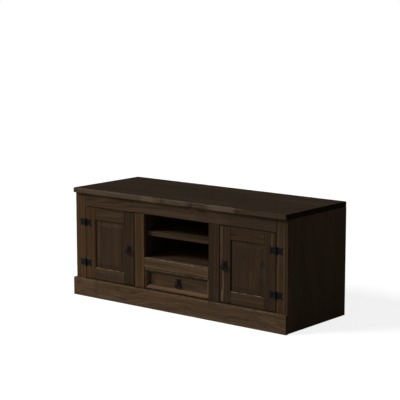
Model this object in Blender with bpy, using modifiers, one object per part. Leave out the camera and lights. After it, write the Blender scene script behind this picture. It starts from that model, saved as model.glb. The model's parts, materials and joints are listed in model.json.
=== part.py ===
"""Media cabinet in dark-stained pine: a face-framed carcass with two framed doors on iron butterfly
hinges, an open centre bay with one shelf, a drawer under the bay, and an iron ring pull on each door
and on the drawer. Metres, +Z up, and the front faces -Y. The origin is on the floor, under the middle
of the cabinet's length and depth."""

import math

import bmesh
import bpy
from mathutils import Matrix, Vector

# Clearance between two pieces that rest on or against each other
SEAT = 0.0003

# Whole cabinet
BODY_WIDTH = 1.460
OVERALL_HEIGHT = 0.612
BODY_DEPTH = 0.525
BOARD_ARRIS = 0.0008

# Top board, flush with the sides and standing out over the front
TOP_THICKNESS = 0.028
TOP_FRONT_OVERHANG = 0.021
TOP_ARRIS = 0.006

# Boards of the carcass
SIDE_THICKNESS = 0.018
DIVIDER_THICKNESS = 0.018
BOTTOM_THICKNESS = 0.018
BAY_FLOOR_THICKNESS = 0.018
BACK_THICKNESS = 0.004
BACK_INSET = 0.001
BACK_REBATE = 0.008
CABLE_HOLE_RADIUS = 0.030

# Face frame
FRAME_THICKNESS = 0.022
SIDE_STILE_WIDTH = 0.072
MID_STILE_WIDTH = 0.0715
DOOR_OPENING_WIDTH = 0.364
TOP_RAIL_HEIGHT = 0.072
CENTRE_RAIL_HEIGHT = 0.057
BOTTOM_RAIL_HEIGHT = 0.060
DRAWER_OPENING_HEIGHT = 0.1165

# Plinth board in front of the frame's foot
PLINTH_HEIGHT = 0.101
PLINTH_THICKNESS = 0.0205
PLINTH_END_OVERHANG = 0.006
PLINTH_ARRIS = 0.007

# Shelves of the open bay and of the cupboards, let into grooves in the uprights beside them
BAY_SHELF_THICKNESS = 0.025
BAY_SHELF_SETBACK = 0.031
LOWER_BAY_HEIGHT = 0.1165
CUPBOARD_SHELF_THICKNESS = 0.018
CUPBOARD_SHELF_RISE = 0.192
CUPBOARD_SHELF_SETBACK = 0.060
HOUSING_DEPTH = 0.006

# Framed doors, inset in the face frame
DOOR_SIDE_GAP = 0.002
DOOR_TOP_GAP = 0.002
DOOR_FOOT_GAP = 0.003
DOOR_STILE_WIDTH = 0.072
DOOR_TOP_RAIL_HEIGHT = 0.071
DOOR_FOOT_RAIL_HEIGHT = 0.066
INNER_CHAMFER = 0.004
GROOVE_WIDTH = 0.006
GROOVE_DEPTH = 0.007
GROOVE_SETBACK = 0.010
PANEL_PLAY = 0.001
PANEL_BEVEL_WIDTH = 0.024
PANEL_FIELD_SETBACK = 0.003

# Magnetic catch on the mid stile's back and strike plate on the door's back
STRIKE_THICKNESS = 0.001
STRIKE_WIDTH = 0.013
STRIKE_HEIGHT = 0.040
POLE_PROUD = 0.0007
POLE_THICKNESS = 0.0012
POLE_LENGTH = 0.011
CATCH_WIDTH = 0.036
CATCH_REACH = 0.016
CATCH_DEPTH = 0.012
CATCH_HEIGHT = 0.013
CATCH_RISE = 0.239

# Butterfly hinges
HINGE_HEIGHT = 0.040
HINGE_REACH = 0.040
HINGE_TIP_HEIGHT = 0.039
HINGE_WAIST_HEIGHT = 0.031
HINGE_NOTCH = 0.006
HINGE_FOOT_DISTANCE = 0.0875
HINGE_TOP_DISTANCE = 0.090
LEAF_THICKNESS = 0.0018
KNUCKLE_RADIUS = 0.004
KNUCKLE_GAP = 0.0004
HINGE_PIN_RADIUS = 0.002
PIN_HEAD_RADIUS = 0.0036
PIN_HEAD_HEIGHT = 0.0022
BARREL_SINK = 0.0002

# Ring pulls
PLATE_HEIGHT = 0.048
PLATE_TIP_WIDTH = 0.036
PLATE_WAIST_WIDTH = 0.025
PLATE_NOTCH = 0.004
PLATE_THICKNESS = 0.0018
EYE_RISE = 0.005
EYE_STANDOFF = 0.006
EYE_WIDTH = 0.006
EYE_WALL = 0.0018
RING_WIDTH = 0.046
RING_HEIGHT = 0.038
RING_WIRE = 0.0045
RING_FOOT_SWELL = 1.3
RING_PLAY = 0.0003
DOOR_EYE_RISE = 0.206
DRAWER_EYE_RISE = 0.056

# Drawer, whose front stands a little behind the face frame and is sunk deep within its mouldings
DRAWER_SIDE_GAP = 0.0035
DRAWER_TOP_GAP = 0.004
DRAWER_FOOT_GAP = 0.0055
DRAWER_SETBACK = 0.0045
DRAWER_FRONT_THICKNESS = 0.012
MOULDING_WIDTH = 0.0185
MOULDING_MARGIN = 0.005
MOULDING_THICKNESS = 0.020
MOULDING_LIP = 0.010
DRAWER_BOX_GAP = 0.0045
DRAWER_SIDE_THICKNESS = 0.015
DRAWER_SIDE_HEIGHT = 0.078
DRAWER_SIDE_RISE = 0.005
DRAWER_BACK_THICKNESS = 0.012
DRAWER_REAR_ROOM = 0.075
DRAWER_BOTTOM_THICKNESS = 0.004
DRAWER_BOTTOM_RISE = 0.008
DRAWER_BOTTOM_BITE = 0.005
RUNNER_HEIGHT = 0.016
RUNNER_BITE = 0.006
RUNNER_PLAY = 0.0005
RUNNER_FRONT_SETBACK = 0.027

# Depths, from the front of the face frame to the back edge of the top
FACE_Y = (TOP_FRONT_OVERHANG - BODY_DEPTH) / 2
BACK_Y = FACE_Y + BODY_DEPTH
FRAME_BACK_Y = FACE_Y + FRAME_THICKNESS
CARCASS_FRONT_Y = FRAME_BACK_Y + SEAT
BACK_PANEL_REAR_Y = BACK_Y - BACK_INSET
BACK_PANEL_FRONT_Y = BACK_PANEL_REAR_Y - BACK_THICKNESS
CARCASS_REAR_Y = BACK_PANEL_FRONT_Y - SEAT

# Heights
TOP_UNDERSIDE = OVERALL_HEIGHT - TOP_THICKNESS
CARCASS_TOP = TOP_UNDERSIDE - SEAT
DOOR_OPENING_TOP = TOP_UNDERSIDE - TOP_RAIL_HEIGHT
FLOOR_BOARD_TOP = PLINTH_HEIGHT
DRAWER_OPENING_TOP = FLOOR_BOARD_TOP + DRAWER_OPENING_HEIGHT
BAY_FLOOR_TOP = DRAWER_OPENING_TOP + CENTRE_RAIL_HEIGHT
BAY_SHELF_UNDERSIDE = BAY_FLOOR_TOP + LOWER_BAY_HEIGHT
BAY_SHELF_TOP = BAY_SHELF_UNDERSIDE + BAY_SHELF_THICKNESS
CUPBOARD_SHELF_UNDERSIDE = FLOOR_BOARD_TOP + CUPBOARD_SHELF_RISE

# Distances from the middle of the cabinet's length
SIDE_OUTER_X = BODY_WIDTH / 2
SIDE_INNER_X = SIDE_OUTER_X - SIDE_THICKNESS
SIDE_STILE_INNER_X = SIDE_OUTER_X - SIDE_STILE_WIDTH
MID_STILE_OUTER_X = SIDE_STILE_INNER_X - DOOR_OPENING_WIDTH
BAY_HALF_WIDTH = MID_STILE_OUTER_X - MID_STILE_WIDTH
DIVIDER_OUTER_X = BAY_HALF_WIDTH + DIVIDER_THICKNESS

# Doors
DOOR_OUTER_X = SIDE_STILE_INNER_X - DOOR_SIDE_GAP
DOOR_INNER_X = MID_STILE_OUTER_X + DOOR_SIDE_GAP
DOOR_FOOT = FLOOR_BOARD_TOP + DOOR_FOOT_GAP
DOOR_TOP = DOOR_OPENING_TOP - DOOR_TOP_GAP
DOOR_THICKNESS = FRAME_THICKNESS - POLE_PROUD - STRIKE_THICKNESS - SEAT
DOOR_BACK_Y = FACE_Y + DOOR_THICKNESS
PANEL_OUTER_X = DOOR_OUTER_X - DOOR_STILE_WIDTH
PANEL_INNER_X = DOOR_INNER_X + DOOR_STILE_WIDTH
PANEL_FOOT = DOOR_FOOT + DOOR_FOOT_RAIL_HEIGHT
PANEL_TOP = DOOR_TOP - DOOR_TOP_RAIL_HEIGHT
GROOVE_FRONT_Y = FACE_Y + GROOVE_SETBACK
GROOVE_BACK_Y = GROOVE_FRONT_Y + GROOVE_WIDTH

# Hinge axes: the barrel lies against the wood, over the gap beside the door
HINGE_AXIS_X = SIDE_STILE_INNER_X - DOOR_SIDE_GAP / 2
HINGE_AXIS_Y = FACE_Y - SEAT - KNUCKLE_RADIUS + BARREL_SINK
HINGE_HEIGHTS = {"lower": DOOR_FOOT + HINGE_FOOT_DISTANCE, "upper": DOOR_TOP - HINGE_TOP_DISTANCE}

# Drawer
DRAWER_HALF_WIDTH = BAY_HALF_WIDTH - DRAWER_SIDE_GAP
DRAWER_FOOT = FLOOR_BOARD_TOP + DRAWER_FOOT_GAP
DRAWER_TOP = DRAWER_OPENING_TOP - DRAWER_TOP_GAP
DRAWER_BOARD_Y = FACE_Y + DRAWER_SETBACK + MOULDING_THICKNESS
DRAWER_BOARD_BACK_Y = DRAWER_BOARD_Y + SEAT + DRAWER_FRONT_THICKNESS
DRAWER_BOX_FRONT_Y = DRAWER_BOARD_BACK_Y + SEAT
DRAWER_BOX_REAR_Y = CARCASS_REAR_Y - DRAWER_REAR_ROOM
DRAWER_SIDE_OUTER_X = BAY_HALF_WIDTH - DRAWER_BOX_GAP
DRAWER_SIDE_INNER_X = DRAWER_SIDE_OUTER_X - DRAWER_SIDE_THICKNESS
DRAWER_SIDE_FOOT = DRAWER_FOOT + DRAWER_SIDE_RISE
DRAWER_SIDE_TOP = DRAWER_SIDE_FOOT + DRAWER_SIDE_HEIGHT
DRAWER_BOTTOM_UNDERSIDE = DRAWER_SIDE_FOOT + DRAWER_BOTTOM_RISE
DRAWER_BOTTOM_TOP = DRAWER_BOTTOM_UNDERSIDE + DRAWER_BOTTOM_THICKNESS
RUNNER_FRONT_Y = FRAME_BACK_Y + RUNNER_FRONT_SETBACK
RUNNER_MIDDLE = (DRAWER_BOTTOM_TOP + DRAWER_SIDE_TOP) / 2

# Radius of the hole in the eye: the ring's wire, its curve across the eye, and the play
RING_HALF_WIDTH = (RING_WIDTH - RING_WIRE) / 2
RING_HALF_HEIGHT = (RING_HEIGHT - RING_WIRE) / 2
RING_CURVE = RING_HALF_HEIGHT * (1 - math.sqrt(1 - (EYE_WIDTH / 2 / RING_HALF_WIDTH) ** 2))
EYE_HOLE_RADIUS = RING_WIRE / 2 + RING_CURVE + RING_PLAY
EYE_RADIUS = EYE_HOLE_RADIUS + EYE_WALL

SIDES = {"left": -1, "right": 1}

for old in list(bpy.data.objects):
    bpy.data.objects.remove(old, do_unlink=True)

PARTS = bpy.data.collections.new("media_cabinet")
CUTTERS = bpy.data.collections.new("cutters")
for collection in (PARTS, CUTTERS):
    bpy.context.scene.collection.children.link(collection)

FINISHES = {
    "stained_pine": {"color": (0.062, 0.043, 0.029, 1.0), "roughness": 0.55, "metallic": 0.0},
    "plywood": {"color": (0.075, 0.052, 0.034, 1.0), "roughness": 0.70, "metallic": 0.0},
    "drawer_pine": {"color": (0.42, 0.28, 0.15, 1.0), "roughness": 0.65, "metallic": 0.0},
    "black_iron": {"color": (0.012, 0.012, 0.013, 1.0), "roughness": 0.45, "metallic": 0.9},
    "zinc": {"color": (0.45, 0.45, 0.44, 1.0), "roughness": 0.35, "metallic": 1.0},
}


def give_material(obj, finish):
    """Gives a sub-part its own Principled BSDF material."""
    values = FINISHES[finish]
    material = bpy.data.materials.new(obj.name + "_" + finish)
    material.use_nodes = True
    shader = material.node_tree.nodes["Principled BSDF"]
    shader.inputs["Base Color"].default_value = values["color"]
    shader.inputs["Roughness"].default_value = values["roughness"]
    shader.inputs["Metallic"].default_value = values["metallic"]
    obj.data.materials.clear()
    obj.data.materials.append(material)


def add_part(name, mesh, place, finish, parent=None):
    """Adds a sub-part at a place in the world, under its parent empty where it has one."""
    part = bpy.data.objects.new(name, mesh)
    PARTS.objects.link(part)
    if parent is not None:
        part.parent = parent
        part.location = Vector(place) - parent.location
    else:
        part.location = place
    give_material(part, finish)
    return part


def add_axis(name, place):
    """Adds an empty on a joint's axis, to carry the pieces of one moving body."""
    axis = bpy.data.objects.new(name, None)
    axis.empty_display_size = 0.05
    axis.location = place
    PARTS.objects.link(axis)
    return axis


def box_mesh(name, size):
    """A box of the given size, centred on its object's origin."""
    shape = bmesh.new()
    bmesh.ops.create_cube(shape, size=1.0)
    bmesh.ops.scale(shape, vec=Vector(size), verts=shape.verts)
    mesh = bpy.data.meshes.new(name)
    shape.to_mesh(mesh)
    shape.free()
    return mesh


def round_shading(mesh, degrees=35):
    """Shades a turned or bent piece smooth, with its real corners sharp."""
    mesh.shade_smooth()
    mesh.set_sharp_from_angle(angle=math.radians(degrees))


def cylinder_mesh(name, radius, length, segments, direction="Z"):
    """A round bar along one axis, centred on its object's origin."""
    shape = bmesh.new()
    bmesh.ops.create_cone(shape, cap_ends=True, segments=segments, radius1=radius, radius2=radius,
                          depth=length)
    if direction == "X":
        bmesh.ops.rotate(shape, verts=shape.verts, matrix=Matrix.Rotation(math.pi / 2, 3, "Y"))
    if direction == "Y":
        bmesh.ops.rotate(shape, verts=shape.verts, matrix=Matrix.Rotation(math.pi / 2, 3, "X"))
    mesh = bpy.data.meshes.new(name)
    shape.to_mesh(mesh)
    shape.free()
    round_shading(mesh)
    return mesh


def span(side, one, other):
    """Two distances from the middle, as a low and a high X on the given side."""
    return tuple(sorted((side * one, side * other)))


def middle_and_size(x, y, z):
    """Centre and size of the box between three pairs of limits."""
    centre = Vector(((x[0] + x[1]) / 2, (y[0] + y[1]) / 2, (z[0] + z[1]) / 2))
    size = Vector((x[1] - x[0], y[1] - y[0], z[1] - z[0]))
    return centre, size


def soften(part, width, segments=2):
    """Rounds the sharp edges of a board."""
    bevel = part.modifiers.new("arris", "BEVEL")
    bevel.width = width
    bevel.segments = segments
    bevel.limit_method = "ANGLE"
    bevel.angle_limit = math.radians(40)


def board(name, x, y, z, finish="stained_pine", parent=None, arris=BOARD_ARRIS, segments=1):
    """A board between three pairs of limits, with softened edges."""
    centre, size = middle_and_size(x, y, z)
    part = add_part(name, box_mesh(name, size), centre, finish, parent)
    soften(part, arris, segments)
    return part


def boolean(part, mesh, place, operation):
    """Cuts a shape from a part, or joins one to it, by a hidden tool object."""
    number = len([m for m in part.modifiers if m.type == "BOOLEAN"]) + 1
    tool = bpy.data.objects.new(part.name + "_tool_" + str(number), mesh)
    tool.location = place
    tool.hide_render = True
    tool.display_type = "WIRE"
    CUTTERS.objects.link(tool)
    modifier = part.modifiers.new(operation.lower() + "_" + str(number), "BOOLEAN")
    modifier.operation = operation
    modifier.solver = "EXACT"
    modifier.object = tool
    return tool


def cut_box(part, x, y, z):
    """Cuts a box from a part."""
    centre, size = middle_and_size(x, y, z)
    boolean(part, box_mesh("box_cutter", size), centre, "DIFFERENCE")


def join_box(part, x, y, z):
    """Joins a box to a part."""
    centre, size = middle_and_size(x, y, z)
    boolean(part, box_mesh("box_addition", size), centre, "UNION")


def cut_hole(part, centre, radius, length, direction, segments):
    """Cuts a round hole from a part."""
    boolean(part, cylinder_mesh("hole_cutter", radius, length, segments, direction), centre, "DIFFERENCE")


def mesh_from(guide):
    """Turns a curve or a modified guide object into a closed mesh, and removes the guide."""
    graph = bpy.context.evaluated_depsgraph_get()
    graph.update()
    mesh = bpy.data.meshes.new_from_object(guide.evaluated_get(graph))
    shape = bmesh.new()
    shape.from_mesh(mesh)
    bmesh.ops.remove_doubles(shape, verts=shape.verts, dist=1e-6)
    shape.to_mesh(mesh)
    shape.free()
    bpy.data.objects.remove(guide, do_unlink=True)
    return mesh


def plate_mesh(name, outline, thickness):
    """A flat plate cut to an outline of (across, up) points, standing upright and facing -Y."""
    curve = bpy.data.curves.new(name, "CURVE")
    curve.dimensions = "2D"
    curve.fill_mode = "BOTH"
    curve.extrude = thickness / 2
    spline = curve.splines.new("POLY")
    spline.points.add(len(outline) - 1)
    for point, (across, up) in zip(spline.points, outline):
        point.co = (across, up, 0.0, 1.0)
    spline.use_cyclic_u = True
    guide = bpy.data.objects.new(name + "_guide", curve)
    CUTTERS.objects.link(guide)
    mesh = mesh_from(guide)
    mesh.transform(Matrix.Rotation(math.pi / 2, 4, "X"))
    return mesh


def flare(start, waist, end, reach, waist_at, steps):
    """Half heights of a plate that draws in from its start to a waist and flares out to its end,
    along two parabolas that meet at the waist. Gives (distance, half height) points."""
    points = []
    for step in range(steps + 1):
        share = step / steps
        if share < waist_at:
            half = waist + (start - waist) * ((waist_at - share) / waist_at) ** 2
        else:
            half = waist + (end - waist) * ((share - waist_at) / (1 - waist_at)) ** 2
        points.append((share * reach, half))
    return points


def groove(upright, face_x, limits):
    """Cuts the groove in an upright's face that takes the end of a level board, open at the rear."""
    reach, y, z = limits
    x = (face_x - HOUSING_DEPTH, face_x + HOUSING_DEPTH)
    cut_box(upright, x, (y[0] - SEAT, y[1] + HOUSING_DEPTH), (z[0] - SEAT, z[1] + SEAT))


def level_boards():
    """Limits of the boards let into the uprights: their reach from one side to the other, depth, height."""
    depth = (CARCASS_FRONT_Y, CARCASS_REAR_Y)
    housed = HOUSING_DEPTH - SEAT
    shelf_z = (CUPBOARD_SHELF_UNDERSIDE, CUPBOARD_SHELF_UNDERSIDE + CUPBOARD_SHELF_THICKNESS)
    return {
        "bottom": (SIDE_INNER_X + housed, depth, (FLOOR_BOARD_TOP - BOTTOM_THICKNESS, FLOOR_BOARD_TOP)),
        "bay_floor": (BAY_HALF_WIDTH + housed, depth, (BAY_FLOOR_TOP - BAY_FLOOR_THICKNESS, BAY_FLOOR_TOP)),
        "bay_shelf": (BAY_HALF_WIDTH + housed, (FACE_Y + BAY_SHELF_SETBACK, CARCASS_REAR_Y),
                      (BAY_SHELF_UNDERSIDE, BAY_SHELF_TOP)),
        "cupboard_shelf": (SIDE_INNER_X + housed, (FACE_Y + CUPBOARD_SHELF_SETBACK, CARCASS_REAR_Y), shelf_z),
    }


def uprights():
    """Side panels from the floor to the top, rebated for the back, and dividers beside the open bay."""
    boards = level_boards()
    for word, side in SIDES.items():
        x = span(side, SIDE_INNER_X, SIDE_OUTER_X)
        panel = board(word + "_side_panel", x, (CARCASS_FRONT_Y, BACK_Y), (0.0, CARCASS_TOP))
        rebate = span(side, SIDE_INNER_X - BACK_REBATE, SIDE_INNER_X + BACK_REBATE)
        foot = FLOOR_BOARD_TOP - BOTTOM_THICKNESS - SEAT
        cut_box(panel, rebate, (BACK_PANEL_FRONT_Y - SEAT, BACK_Y + BACK_REBATE), (foot, OVERALL_HEIGHT))
        for name in ("bottom", "cupboard_shelf"):
            groove(panel, side * SIDE_INNER_X, boards[name])

        x = span(side, BAY_HALF_WIDTH, DIVIDER_OUTER_X)
        z = (FLOOR_BOARD_TOP + SEAT, CARCASS_TOP)
        divider = board(word + "_divider", x, (CARCASS_FRONT_Y, CARCASS_REAR_Y), z)
        for name in ("bay_floor", "bay_shelf"):
            groove(divider, side * BAY_HALF_WIDTH, boards[name])
        groove(divider, side * DIVIDER_OUTER_X, boards["cupboard_shelf"])


def carcass_boards():
    """Top, bottom, bay floor, bay shelf and the two cupboard shelves."""
    top_y = (FACE_Y - TOP_FRONT_OVERHANG, BACK_Y)
    board("top_board", (-SIDE_OUTER_X, SIDE_OUTER_X), top_y, (TOP_UNDERSIDE, OVERALL_HEIGHT),
          arris=TOP_ARRIS, segments=4)
    boards = level_boards()
    for name, key in (("bottom_board", "bottom"), ("bay_floor", "bay_floor"), ("bay_shelf", "bay_shelf")):
        reach, y, z = boards[key]
        board(name, (-reach, reach), y, z)
    reach, y, z = boards["cupboard_shelf"]
    for word, side in SIDES.items():
        inner = DIVIDER_OUTER_X - HOUSING_DEPTH + SEAT
        board(word + "_cupboard_shelf", span(side, inner, reach), y, z)


def back_panel():
    """Thin back in the side panels' rebates, with a round cable hole behind each half of the bay."""
    reach = SIDE_INNER_X + BACK_REBATE - SEAT
    z = (FLOOR_BOARD_TOP - BOTTOM_THICKNESS, CARCASS_TOP)
    panel = board("back_panel", (-reach, reach), (BACK_PANEL_FRONT_Y, BACK_PANEL_REAR_Y), z, "plywood",
                  arris=BOARD_ARRIS / 2)
    middle_y = (BACK_PANEL_FRONT_Y + BACK_PANEL_REAR_Y) / 2
    lower = (BAY_FLOOR_TOP + BAY_SHELF_UNDERSIDE) / 2
    upper = (BAY_SHELF_TOP + DOOR_OPENING_TOP) / 2
    for height in (lower, upper):
        cut_hole(panel, (0.0, middle_y, height), CABLE_HOLE_RADIUS, 4 * BACK_THICKNESS, "Y", 24)


def face_frame():
    """Stiles and rails on the carcass's front edges."""
    y = (FACE_Y, FRAME_BACK_Y)
    for word, side in SIDES.items():
        board(word + "_side_stile", span(side, SIDE_STILE_INNER_X, SIDE_OUTER_X), y, (0.0, CARCASS_TOP))
        z = (FLOOR_BOARD_TOP + SEAT, DOOR_OPENING_TOP - SEAT)
        board(word + "_mid_stile", span(side, BAY_HALF_WIDTH, MID_STILE_OUTER_X), y, z)
    reach = SIDE_STILE_INNER_X - SEAT
    board("top_rail", (-reach, reach), y, (DOOR_OPENING_TOP, CARCASS_TOP))
    board("bottom_rail", (-reach, reach), y, (FLOOR_BOARD_TOP - BOTTOM_RAIL_HEIGHT, FLOOR_BOARD_TOP))
    bay = BAY_HALF_WIDTH - SEAT
    board("centre_rail", (-bay, bay), y, (DRAWER_OPENING_TOP, BAY_FLOOR_TOP))


def plinth():
    """Plinth board across the frame's foot, with a rounded top edge."""
    reach = SIDE_OUTER_X + PLINTH_END_OVERHANG
    rear = FACE_Y - SEAT
    part = board("plinth_board", (-reach, reach), (rear - PLINTH_THICKNESS, rear), (0.0, PLINTH_HEIGHT))
    mesh = part.data
    weights = mesh.attributes.new("bevel_weight_edge", "FLOAT", "EDGE")
    for edge in mesh.edges:
        ends = [mesh.vertices[i].co for i in edge.vertices]
        if all(end.z > 0 and end.y < 0 for end in ends):
            weights.data[edge.index].value = 1.0
    rounding = part.modifiers.new("top_edge", "BEVEL")
    rounding.width = PLINTH_ARRIS
    rounding.segments = 4
    rounding.limit_method = "WEIGHT"
    part.modifiers.move(len(part.modifiers) - 1, 0)


def opening_chamfer_mesh(width, height):
    """A flat pyramid's frustum, wide at the front, whose slanting walls chamfer a frame's inner edges."""
    shape = bmesh.new()
    bmesh.ops.create_cube(shape, size=1.0)
    bmesh.ops.scale(shape, vec=(width, 2 * INNER_CHAMFER, height), verts=shape.verts)
    front = [v for v in shape.verts if v.co.y < 0]
    wide = (1 + 4 * INNER_CHAMFER / width, 1.0, 1 + 4 * INNER_CHAMFER / height)
    bmesh.ops.scale(shape, vec=wide, verts=front)
    mesh = bpy.data.meshes.new("opening_chamfer")
    shape.to_mesh(mesh)
    shape.free()
    return mesh


def raised_panel(name, x, z, parent):
    """A raised and fielded panel: a thin tongue all round, a sloping bevel and a flat field."""
    tongue_front = GROOVE_FRONT_Y + SEAT
    tongue_back = GROOVE_BACK_Y - SEAT
    reach = GROOVE_DEPTH - PANEL_PLAY
    x = (x[0] - reach, x[1] + reach)
    z = (z[0] - reach, z[1] + reach)
    centre, size = middle_and_size(x, (tongue_front, tongue_back), z)
    shape = bmesh.new()
    bmesh.ops.create_cube(shape, size=1.0)
    bmesh.ops.scale(shape, vec=size, verts=shape.verts)
    front = [face for face in shape.faces if face.normal.y < -0.5]
    bmesh.ops.inset_region(shape, faces=front, thickness=reach + SEAT, use_even_offset=True)
    rise = tongue_front - (FACE_Y + PANEL_FIELD_SETBACK)
    bmesh.ops.inset_region(shape, faces=front, thickness=PANEL_BEVEL_WIDTH, use_even_offset=True)
    bmesh.ops.translate(shape, vec=(0.0, -rise, 0.0), verts=front[0].verts)
    mesh = bpy.data.meshes.new(name)
    shape.to_mesh(mesh)
    shape.free()
    return add_part(name, mesh, centre, "stained_pine", parent)


def door(word, side):
    """A door: two stiles, two rails tongued into their grooves, and a raised panel in the grooves."""
    axis = add_axis(word + "_door_axis", (side * HINGE_AXIS_X, HINGE_AXIS_Y, 0.0))
    y = (FACE_Y, DOOR_BACK_Y)
    groove_y = (GROOVE_FRONT_Y, GROOVE_BACK_Y)
    tongue_y = (GROOVE_FRONT_Y + SEAT, GROOVE_BACK_Y - SEAT)
    panel_x = span(side, PANEL_OUTER_X, PANEL_INNER_X)
    panel_z = (PANEL_FOOT, PANEL_TOP)
    opening = ((panel_x[0] + panel_x[1]) / 2, FACE_Y, (PANEL_FOOT + PANEL_TOP) / 2)
    chamfer = opening_chamfer_mesh(panel_x[1] - panel_x[0], PANEL_TOP - PANEL_FOOT)

    stiles = {"hinge": (PANEL_OUTER_X, DOOR_OUTER_X), "lock": (PANEL_INNER_X, DOOR_INNER_X)}
    for stile_word, (inner, outer) in stiles.items():
        stile = board(word + "_door_" + stile_word + "_stile", span(side, inner, outer), y,
                      (DOOR_FOOT, DOOR_TOP), parent=axis)
        groove_x = span(side, inner - GROOVE_DEPTH, inner + GROOVE_DEPTH)
        cut_box(stile, groove_x, groove_y, (DOOR_FOOT - GROOVE_DEPTH, DOOR_TOP + GROOVE_DEPTH))
        boolean(stile, chamfer, opening, "DIFFERENCE")

    rail_x = (panel_x[0] + SEAT, panel_x[1] - SEAT)
    tongue = GROOVE_DEPTH - PANEL_PLAY
    tongue_x = (panel_x[0] - tongue, panel_x[1] + tongue)
    rails = {"top": (PANEL_TOP, DOOR_TOP, 1), "bottom": (PANEL_FOOT, DOOR_FOOT, -1)}
    for rail_word, (inner, outer, outward) in rails.items():
        rail_z = tuple(sorted((inner, outer)))
        rail = board(word + "_door_" + rail_word + "_rail", rail_x, y, rail_z, parent=axis)
        tongue_z = tuple(sorted((inner + outward * GROOVE_DEPTH, outer - outward * BOARD_ARRIS)))
        join_box(rail, tongue_x, tongue_y, tongue_z)
        groove_z = (inner - GROOVE_DEPTH, inner + GROOVE_DEPTH)
        cut_box(rail, (rail_x[0] - GROOVE_DEPTH, rail_x[1] + GROOVE_DEPTH), groove_y, groove_z)
        boolean(rail, chamfer, opening, "DIFFERENCE")

    raised_panel(word + "_door_panel", panel_x, panel_z, axis)
    return axis


def hinge_outline(own_tabs):
    """Outline of a butterfly leaf that reaches out from the barrel's axis: tabs to the knuckles at the
    given heights, a waist, and a flared end with a notch."""
    root = KNUCKLE_RADIUS + KNUCKLE_GAP
    half_root = HINGE_HEIGHT / 2 - KNUCKLE_GAP
    curve = flare(half_root, HINGE_WAIST_HEIGHT / 2, HINGE_TIP_HEIGHT / 2, HINGE_REACH - root, 0.45, 7)
    upper = [(root + distance, half) for distance, half in curve]
    outline = [(across, -half) for across, half in upper]
    outline.append((HINGE_REACH - HINGE_NOTCH, 0.0))
    outline += reversed(upper)
    for high, low in own_tabs:
        for corner in ((root, high), (0.0, high), (0.0, low), (root, low)):
            if corner != outline[-1] and corner != outline[0]:
                outline.append(corner)
    return outline


def hinge_leaf(name, side, outward, middle, knuckles, parent=None):
    """One leaf of a butterfly hinge: a flared plate with its knuckles round the barrel's axis."""
    tabs = [(high - KNUCKLE_GAP, low + KNUCKLE_GAP) for high, low in knuckles]
    mesh = plate_mesh(name, hinge_outline(tabs), LEAF_THICKNESS)
    if side * outward < 0:
        mesh.transform(Matrix.Scale(-1, 4, (1, 0, 0)))
        mesh.flip_normals()
    plate_y = FACE_Y - SEAT - LEAF_THICKNESS / 2
    axis_place = Vector((side * HINGE_AXIS_X, HINGE_AXIS_Y, middle))
    leaf = add_part(name, mesh, (axis_place.x, plate_y, middle), "black_iron", parent)
    for high, low in knuckles:
        knuckle = cylinder_mesh("knuckle", KNUCKLE_RADIUS, high - low, 20)
        boolean(leaf, knuckle, axis_place + Vector((0, 0, (high + low) / 2)), "UNION")
    return leaf, axis_place


def hinge_pin_mesh():
    """A turned pin with a domed head at each end, as a profile spun round the barrel's axis."""
    tip = HINGE_HEIGHT / 2 + PIN_HEAD_HEIGHT
    profile = [(0.0, tip),
               (PIN_HEAD_RADIUS * 0.6, tip - PIN_HEAD_HEIGHT * 0.2),
               (PIN_HEAD_RADIUS, tip - PIN_HEAD_HEIGHT * 0.65),
               (PIN_HEAD_RADIUS, tip - PIN_HEAD_HEIGHT * 1.3),
               (HINGE_PIN_RADIUS, tip - PIN_HEAD_HEIGHT * 1.6)]
    profile += [(radius, -height) for radius, height in reversed(profile)]
    mesh = bpy.data.meshes.new("pin_profile")
    mesh.from_pydata([(radius, 0.0, height) for radius, height in profile],
                     [(i, i + 1) for i in range(len(profile) - 1)], [])
    guide = bpy.data.objects.new("pin_guide", mesh)
    CUTTERS.objects.link(guide)
    screw = guide.modifiers.new("turn", "SCREW")
    screw.steps = 14
    screw.render_steps = 14
    screw.use_merge_vertices = True
    screw.merge_threshold = 0.00001
    mesh = mesh_from(guide)
    round_shading(mesh)
    return mesh


def hinges(door_axes):
    """Four butterfly hinges: the frame's leaf holds the end knuckles with the pin fast in them, and the
    door's leaf turns on the pin by its middle knuckle."""
    half = HINGE_HEIGHT / 2
    third = HINGE_HEIGHT / 6
    ends = [(half, third + KNUCKLE_GAP / 2), (-third - KNUCKLE_GAP / 2, -half)]
    centre = [(third - KNUCKLE_GAP / 2, -third + KNUCKLE_GAP / 2)]
    pin = hinge_pin_mesh()
    bore = cylinder_mesh("pin_bore", HINGE_PIN_RADIUS + SEAT, 2 * HINGE_HEIGHT, 16)
    for word, side in SIDES.items():
        for level, height in HINGE_HEIGHTS.items():
            name = word + "_" + level
            leaf, place = hinge_leaf(name + "_frame_leaf", side, 1, height, ends)
            boolean(leaf, pin, place, "UNION")
            leaf, place = hinge_leaf(name + "_door_leaf", side, -1, height, centre, door_axes[word])
            boolean(leaf, bore, place, "DIFFERENCE")


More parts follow.
